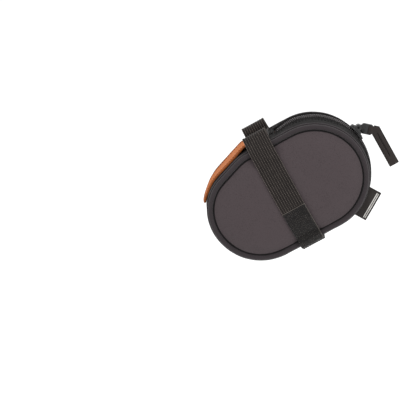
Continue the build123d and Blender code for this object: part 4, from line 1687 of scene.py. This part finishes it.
    def build_pile(self, rows: list[list[tuple[Vector, Vector]]]) -> None:
        """Scatters small loops of thread over the patch."""
        deselect_all()
        bpy.ops.mesh.primitive_torus_add(major_segments=6, minor_segments=4, major_radius=0.34 * MM,
                                         minor_radius=0.085 * MM)
        model = bpy.context.object
        places = []
        number = 0
        for k in range(2, len(rows) - 2, 2):
            for j in range(2, len(rows[0]) - 2, 3):
                number += 1
                point, normal = rows[k][j]
                jitter = noise.noise_vector(Vector((number * 0.71, number * 0.37, 1.3)))
                if jitter.x < -0.25:
                    continue
                spot = point + normal * self.patch_thickness * 0.46
                spot += Vector((jitter.x, 0, jitter.y)) * 0.6 * MM
                turn = Matrix.Rotation(jitter.z * 6, 4, "X") @ Matrix.Rotation(jitter.y * 6, 4, "Z")
                places.append(Matrix.Translation(spot) @ turn)
        pile = copies("loop_patch_pile", model, places)
        restitch(pile, "pile_loop")
        settle(pile, "loop_cloth", "strap_arm")

    def build_hooks(self) -> None:
        """Makes the hook patch on the tail's upper face: a thin base with rows of hooks."""
        base_top, base_thickness = -3.32 * MM, 0.24 * MM
        first, last = -19.6 * MM, -0.6 * MM
        rows = columns = 12
        lean_angle = 18             # degrees, each row the other way
        deselect_all()
        bpy.ops.mesh.primitive_cube_add(
            size=1.0, location=(STRAP_U, (first + last) / 2, base_top - base_thickness / 2),
            scale=(self.width - 1.2 * MM, last - first, base_thickness))
        base = bpy.context.object
        bpy.ops.object.transform_apply(location=True, rotation=False, scale=True)
        add_modifier(base, "BEVEL", width=0.08 * MM, segments=2, limit_method="NONE")
        deselect_all()
        bpy.ops.mesh.primitive_cone_add(vertices=5, radius1=0.2 * MM, radius2=0.14 * MM, depth=0.5 * MM)
        model = bpy.context.object
        places = []
        for row in range(rows):
            for k in range(columns):
                spot = Vector((STRAP_U + (k - (columns - 1) / 2) * 1.35 * MM,
                               first + (row + 1) * 1.45 * MM, base_top + base_thickness / 2))
                lean = Matrix.Rotation(math.radians(lean_angle if row % 2 else -lean_angle), 4, "X")
                places.append(Matrix.Translation(spot) @ lean)
        hooks = copies("hooks", model, places)
        whole = join("hook_patch_moulding", [base, hooks])
        settle(whole, "hook_tape", "strap_tail", ["hook_patch"])


# ---- guard flap, label and end tabs -----------------------------------------------------------
@dataclass
class GuardFlap:
    """The coated cloth flap on the front of the bag that keeps the seatpost off it."""

    thickness: float = 1.5 * MM
    half_width: float = 15.5 * MM
    narrow: float = 11.5 * MM
    tip: float = 9.0 * MM
    root_u: float = 67.0 * MM
    tip_s: float = 12.2 * MM
    rise: float = 1.45 * MM         # of the flap's middle above the outline, on the slope
    anchor_rise: float = 3.25 * MM  # and over the strap's anchor
    tip_lift: float = 0.9 * MM
    droop: float = 0.3 * MM         # of its side edges

    def spine(self) -> list[tuple[Vector, Vector]]:
        """The middle line from the root to the tip: its points and upward normals."""
        route = []
        raised = LINE.at_top(51 * MM)
        for s in LINE.steps(self.tip_s, LINE.at_top(self.root_u), 1.4 * MM)[::-1]:
            rise = self.rise + (self.anchor_rise - self.rise) * between(raised - 12 * MM, raised, s)
            rise += self.tip_lift * (1 - between(self.tip_s, self.tip_s + 9 * MM, s))
            _, normal = LINE.spot(s)
            route.append((LINE.point(s, 0.0, rise), Vector((normal.x, 0, normal.y))))
        return route

    def half_at(self, u: float) -> float:
        """Half the flap's width at a place along the bag."""
        base = self.narrow + (self.half_width - self.narrow) * between(-52 * MM, -45 * MM, -u)
        share = max(0.0, (34 * MM - u) / (31 * MM))
        return base - (self.half_width - self.tip) * min(1.0, share) ** 1.2

    def rows(self) -> list[list[tuple[Vector, Vector]]]:
        """Middle points and upward normals over the flap."""
        rows = []
        for point, normal in self.spine():
            half = self.half_at(point.x)
            row = []
            for j in range(-12, 13):
                sag = self.droop * (j / 12) ** 2
                row.append((point + Vector((0, half * j / 12, 0)) - normal * sag, normal))
            rows.append(row)
        return rows

    def build(self) -> None:
        """Makes the flap, its binding and its stitches."""
        rows = self.rows()
        rings = []
        for row in rows:
            upper, lower = [], []
            for j, (point, normal) in enumerate(row):
                edge = abs(j - 12) / 12
                half = self.thickness / 2 * (0.72 - 0.3 * between(0.96, 1.0, edge))
                puff = 0.10 * MM * noise.noise(point / (5 * MM)) + 0.22 * MM * math.cos(j * math.tau / 6)
                upper.append(point + normal * (half + puff))
                lower.append(point - normal * (half - puff))
            rings.append(upper + lower[::-1])
        flap = loft("guard_flap_cloth", rings)
        outward(flap)
        smooth(flap, 60)
        settle(flap, "guard_cloth", "bag", ["guard_flap"])
        binding = self.build_binding(rows)
        stitches = self.build_stitches(rows)

    def rim(self, rows: list[list[tuple[Vector, Vector]]], inset: int) -> list[tuple[Vector, Vector]]:
        """The route round the flap's two sides and tip, some rows in from the edge."""
        last = len(rows) - 1 - inset
        left = [row[inset] for row in rows[1:last]]
        tip = [rows[last][j] for j in range(inset, 25 - inset)]
        right = [row[24 - inset] for row in rows[1:last]]
        return left + tip + right[::-1]

    def build_binding(self, rows: list[list[tuple[Vector, Vector]]]) -> bpy.types.Object:
        """Makes the folded binding along the flap's edge."""
        rings = []
        route = self.rim(rows, 0)
        for k, (point, normal) in enumerate(route):
            ahead = (route[min(k + 1, len(route) - 1)][0] - route[max(k - 1, 0)][0]).normalized()
            out = ahead.cross(normal).normalized()
            up = out.cross(ahead)
            ring = []
            for step in range(20):
                angle = math.tau * (step / 20 - 0.5)
                groove = 1 - 0.45 * math.exp(-(angle / 0.38) ** 2)
                ring.append(point + out * 1.0 * MM * groove * math.cos(angle)
                            + up * self.thickness * 0.58 * math.sin(angle))
            rings.append(ring)
        binding = loft("guard_flap_binding", rings)
        outward(binding)
        wrinkle(binding, 3 * MM, 0.12 * MM, 6.0)
        smooth(binding, 70)
        # the binding takes the darker orange, painted shade on the fold
        restitch(binding, "guard_edge_painted_shade")
        settle(binding, "guard_cloth", "bag")
        return binding

    def build_stitches(self, rows: list[list[tuple[Vector, Vector]]]) -> bpy.types.Object:
        """Makes the rows of stitches inside the binding and across the flap's root."""
        lift = self.thickness * 0.38
        parts = []
        for inset, side in ((2, 1), (2, -1)):
            route = [(point + normal * lift * side, normal * side) for point, normal in self.rim(rows, inset)]
            # the rim stitches share the darker orange of painted shade
            parts.append(stitch_row("rim", route, "guard_edge_painted_shade", 2.2 * MM, 0.28 * MM))
        for number in (4, 9):
            route = [(point + normal * lift, normal) for point, normal in rows[number][1:-1]]
            parts.append(stitch_row("root", route, "orange_thread", 2.2 * MM, 0.2 * MM))
        stitches = join("guard_flap_stitches", parts)
        settle(stitches, "guard_cloth", "bag")
        return stitches


@dataclass
class Label:
    """The folded cloth label sewn into the left rear seam, with a plain woven stripe."""

    polar: float = -58.0
    seam_radius: float = 39.2 * MM
    outer: float = 48.8 * MM
    low: float = -9.8 * MM
    high: float = 13.6 * MM
    y: float = -24.0 * MM
    thickness: float = 1.2 * MM

    def spot(self, reach: float, along: float, depth: float) -> Vector:
        """A point by its reach from the rear centre, its place along the seam and its depth."""
        angle = math.radians(self.polar)
        out = Vector((math.cos(angle), 0, math.sin(angle)))
        run = Vector((-math.sin(angle), 0, math.cos(angle)))
        return Vector((REAR_CENTRE.x, self.y + depth, REAR_CENTRE.z)) + out * reach + run * along

    def face(self, along: float, reach: float, sign: int, lift: float = 0.0) -> Vector:
        """A point on one face of the label, which waves a little and thins to its fold.

        Args:
            along: the place along the seam.
            reach: the distance out from the rear centre.
            sign: -1 for the near face, 1 for the far face.
            lift: how far the point stands off the face.

        Returns:
            The point.
        """
        inner = math.sqrt(self.seam_radius ** 2 - along ** 2)
        share = (reach - inner) / (self.outer - inner)
        half = self.thickness / 2 * (0.80 - 0.35 * between(0.85, 1.0, share)) + lift
        run = (along - self.low) / (self.high - self.low)
        wave = 0.25 * MM * math.sin(run * 5 + share * 2) * share
        return self.spot(reach, along, sign * half + wave)

    def build(self) -> None:
        """Makes the folded label and its stripe."""
        rings = []
        columns = 24
        for k in range(columns + 1):
            along = self.low + (self.high - self.low) * k / columns
            inner = math.sqrt(self.seam_radius ** 2 - along ** 2)
            reaches = [inner + (self.outer - inner) * j / 12 for j in range(13)]
            ring = [self.face(along, reach, -1) for reach in reaches]
            ring += [self.face(along, reach, 1) for reach in reversed(reaches)]
            rings.append(ring)
        label = loft("label_tab_cloth", rings)
        outward(label)
        add_modifier(label, "BEVEL", width=0.12 * MM, segments=2, limit_method="ANGLE")
        smooth(label, 60)
        settle(label, "label_cloth", "mouth_left", ["label_tab"])
        stripes = []
        for start, end in ((45.7 * MM, 46.4 * MM), (47.0 * MM, 47.6 * MM)):
            for sign in (-1, 1):
                stripes.append(self.stripe(start, end, sign))
        stripe = join("label_stripe", stripes)
        restitch(stripe, "white_thread")
        settle(stripe, "label_cloth", "mouth_left")

    def stripe(self, start: float, end: float, sign: int) -> bpy.types.Object:
        """One woven line along the label, standing a hair off its face."""
        rings = []
        for k in range(25):
            along = self.low + 1.4 * MM + (self.high - self.low - 2.8 * MM) * k / 24
            rings.append([self.face(along, place, sign, lift) for place, lift in (
                (start, -0.1 * MM), (start, 0.14 * MM), (end, 0.14 * MM), (end, -0.1 * MM))])
        piece = loft("stripe", rings)
        outward(piece)
        return piece


@dataclass
class EndTabs:
    """The two cloth tabs that close the ends of the zip."""

    first: float = 69.7 * MM
    last: float = 72.5 * MM
    half_width: float = 7.0 * MM
    low: float = 0.7 * MM
    high: float = 1.85 * MM

    def build(self) -> None:
        """Makes both tabs with a bar of stitches on each."""
        for name, at, node in (("top", LINE.at_top, "zip_end_tab_top"),
                               ("bottom", LINE.at_bottom, "zip_end_tab_bottom")):
            ends = sorted((at(self.first), at(self.last)))
            stations = LINE.steps(ends[0], ends[1], 0.5 * MM)
            tab = sweep(f"end_tab_{name}", stations, self.section)
            add_modifier(tab, "BEVEL", width=0.3 * MM, segments=3, limit_method="ANGLE", angle_limit=0.9)
            wrinkle(tab, 3 * MM, 0.08 * MM, 4.0)
            smooth(tab, 50)
            settle(tab, "gusset_cloth", "bag", [node])
            middle = (ends[0] + ends[1]) / 2
            _, normal = LINE.spot(middle)
            route = [(LINE.point(middle, y, self.high - 0.02 * MM), Vector((normal.x, 0, normal.y)))
                     for y in LINE.steps(-6 * MM, 6 * MM, 1 * MM)]
            row = stitch_row(f"end_tab_stitches_{name}", route, "dark_thread", 0.9 * MM, 0.2 * MM)
            settle(row, "gusset_cloth", "bag")

    def section(self, _s: float) -> list[tuple[float, float]]:
        """The tab's section, the same at every distance: a low pad, thinner at its sides."""
        upper = []
        for k in range(15):
            y = self.half_width * (k / 7 - 1)
            drop = 0.35 * MM * abs(k / 7 - 1) ** 6
            upper.append((y, self.high - drop))
        return upper + [(y, self.low) for y, _ in reversed(upper)]


# ---- floor, light and camera --------------------------------------------------------------------
@dataclass
class Studio:
    """A plain pale floor, soft light and the camera."""

    elevation: float = 11.0
    distance: float = 2.5
    frame_width: float = 0.2972
    target: tuple[float, float, float] = (-0.0411, 0.0, -0.0499)
    floor_drop: float = 0.10
    floor_size: float = 12.0
    sky_strength: float = 1.1
    sensor_width: float = 36.0      # of the camera, in millimetres

    def build(self) -> None:
        """Sets up the floor, the lights, the sky and the camera."""
        deselect_all()
        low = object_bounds()[0][2]
        bpy.ops.mesh.primitive_plane_add(size=self.floor_size, location=(0, 0, 0))
        floor = bpy.context.object
        floor.data.transform(Matrix.Translation((0, 0, low - self.floor_drop)))
        floor.name = "studio_floor"
        paint = bpy.data.materials.new("painted_board")
        paint.use_nodes = True
        shader = paint.node_tree.nodes["Principled BSDF"]
        shader.inputs["Base Color"].default_value = linear("#F4F4F4")
        shader.inputs["Roughness"].default_value = 0.9
        floor.data.materials.append(paint)
        floor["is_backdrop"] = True
        for name, place, size, power in (("key", (0.8, -1.1, 1.2), 0.8, 8.0),
                                         ("fill", (-1.1, -1.2, 0.5), 1.0, 0.8),
                                         ("rim", (0.5, 0.9, 0.9), 0.6, 2.0),
                                         ("top", (0.0, -0.1, 1.5), 1.4, 3.0)):
            self.light(name, place, size, power)
        world = bpy.data.worlds.new("studio_sky")
        bpy.context.scene.world = world
        world.use_nodes = True
        sky = world.node_tree.nodes["Background"]
        sky.inputs["Color"].default_value = (1.0, 1.0, 1.0, 1.0)
        sky.inputs["Strength"].default_value = self.sky_strength
        bpy.context.scene.view_settings.view_transform = "Standard"
        self.camera()

    def light(self, name: str, place: tuple[float, float, float], size: float, power: float) -> None:
        """Adds one soft lamp that faces the object.

        Args:
            name: the lamp's name.
            place: where it hangs, from the target.
            size: its width.
            power: its power in watts.
        """
        spot = Vector(self.target) + Vector(place)
        bpy.ops.object.light_add(type="AREA", location=spot)
        lamp = bpy.context.object
        lamp.name = f"light_{name}"
        lamp.data.size = size
        lamp.data.energy = power
        lamp.rotation_euler = (Vector(self.target) - spot).to_track_quat("-Z", "Y").to_euler()

    def camera(self) -> None:
        """Adds the camera at its viewing angle, with a lens that takes in frame_width."""
        angle = math.radians(self.elevation)
        offset = Vector((0, -math.cos(angle), math.sin(angle))) * self.distance
        bpy.ops.object.camera_add(location=Vector(self.target) + offset)
        camera = bpy.context.object
        camera.rotation_euler = (-offset).to_track_quat("-Z", "Y").to_euler()
        camera.data.sensor_width = self.sensor_width
        camera.data.lens = self.sensor_width * self.distance / self.frame_width
        camera.data.clip_end = 50.0
        bpy.context.scene.camera = camera


def dress_pin() -> None:
    """Gives the slider's pin, which is a CAD node, its steel."""
    pin = frame["nodes"]["slider_pin"]
    for place in pin.material_slots:
        place.material = FINISHES["pin_steel"].material()


def main() -> None:
    """Builds every sub-assembly in order."""
    logging.basicConfig(level=logging.INFO, format="%(message)s")
    panels = SidePanels()
    parts = [panels, Gusset(), Zip(), EndTabs(), Slider(), Pull(), Strap(panels), GuardFlap(), Label()]
    for part in parts:
        part.build()
        LOG.info("%s built", type(part).__name__)
    dress_pin()
    Studio().build()


if __name__ == "__main__":
    main()
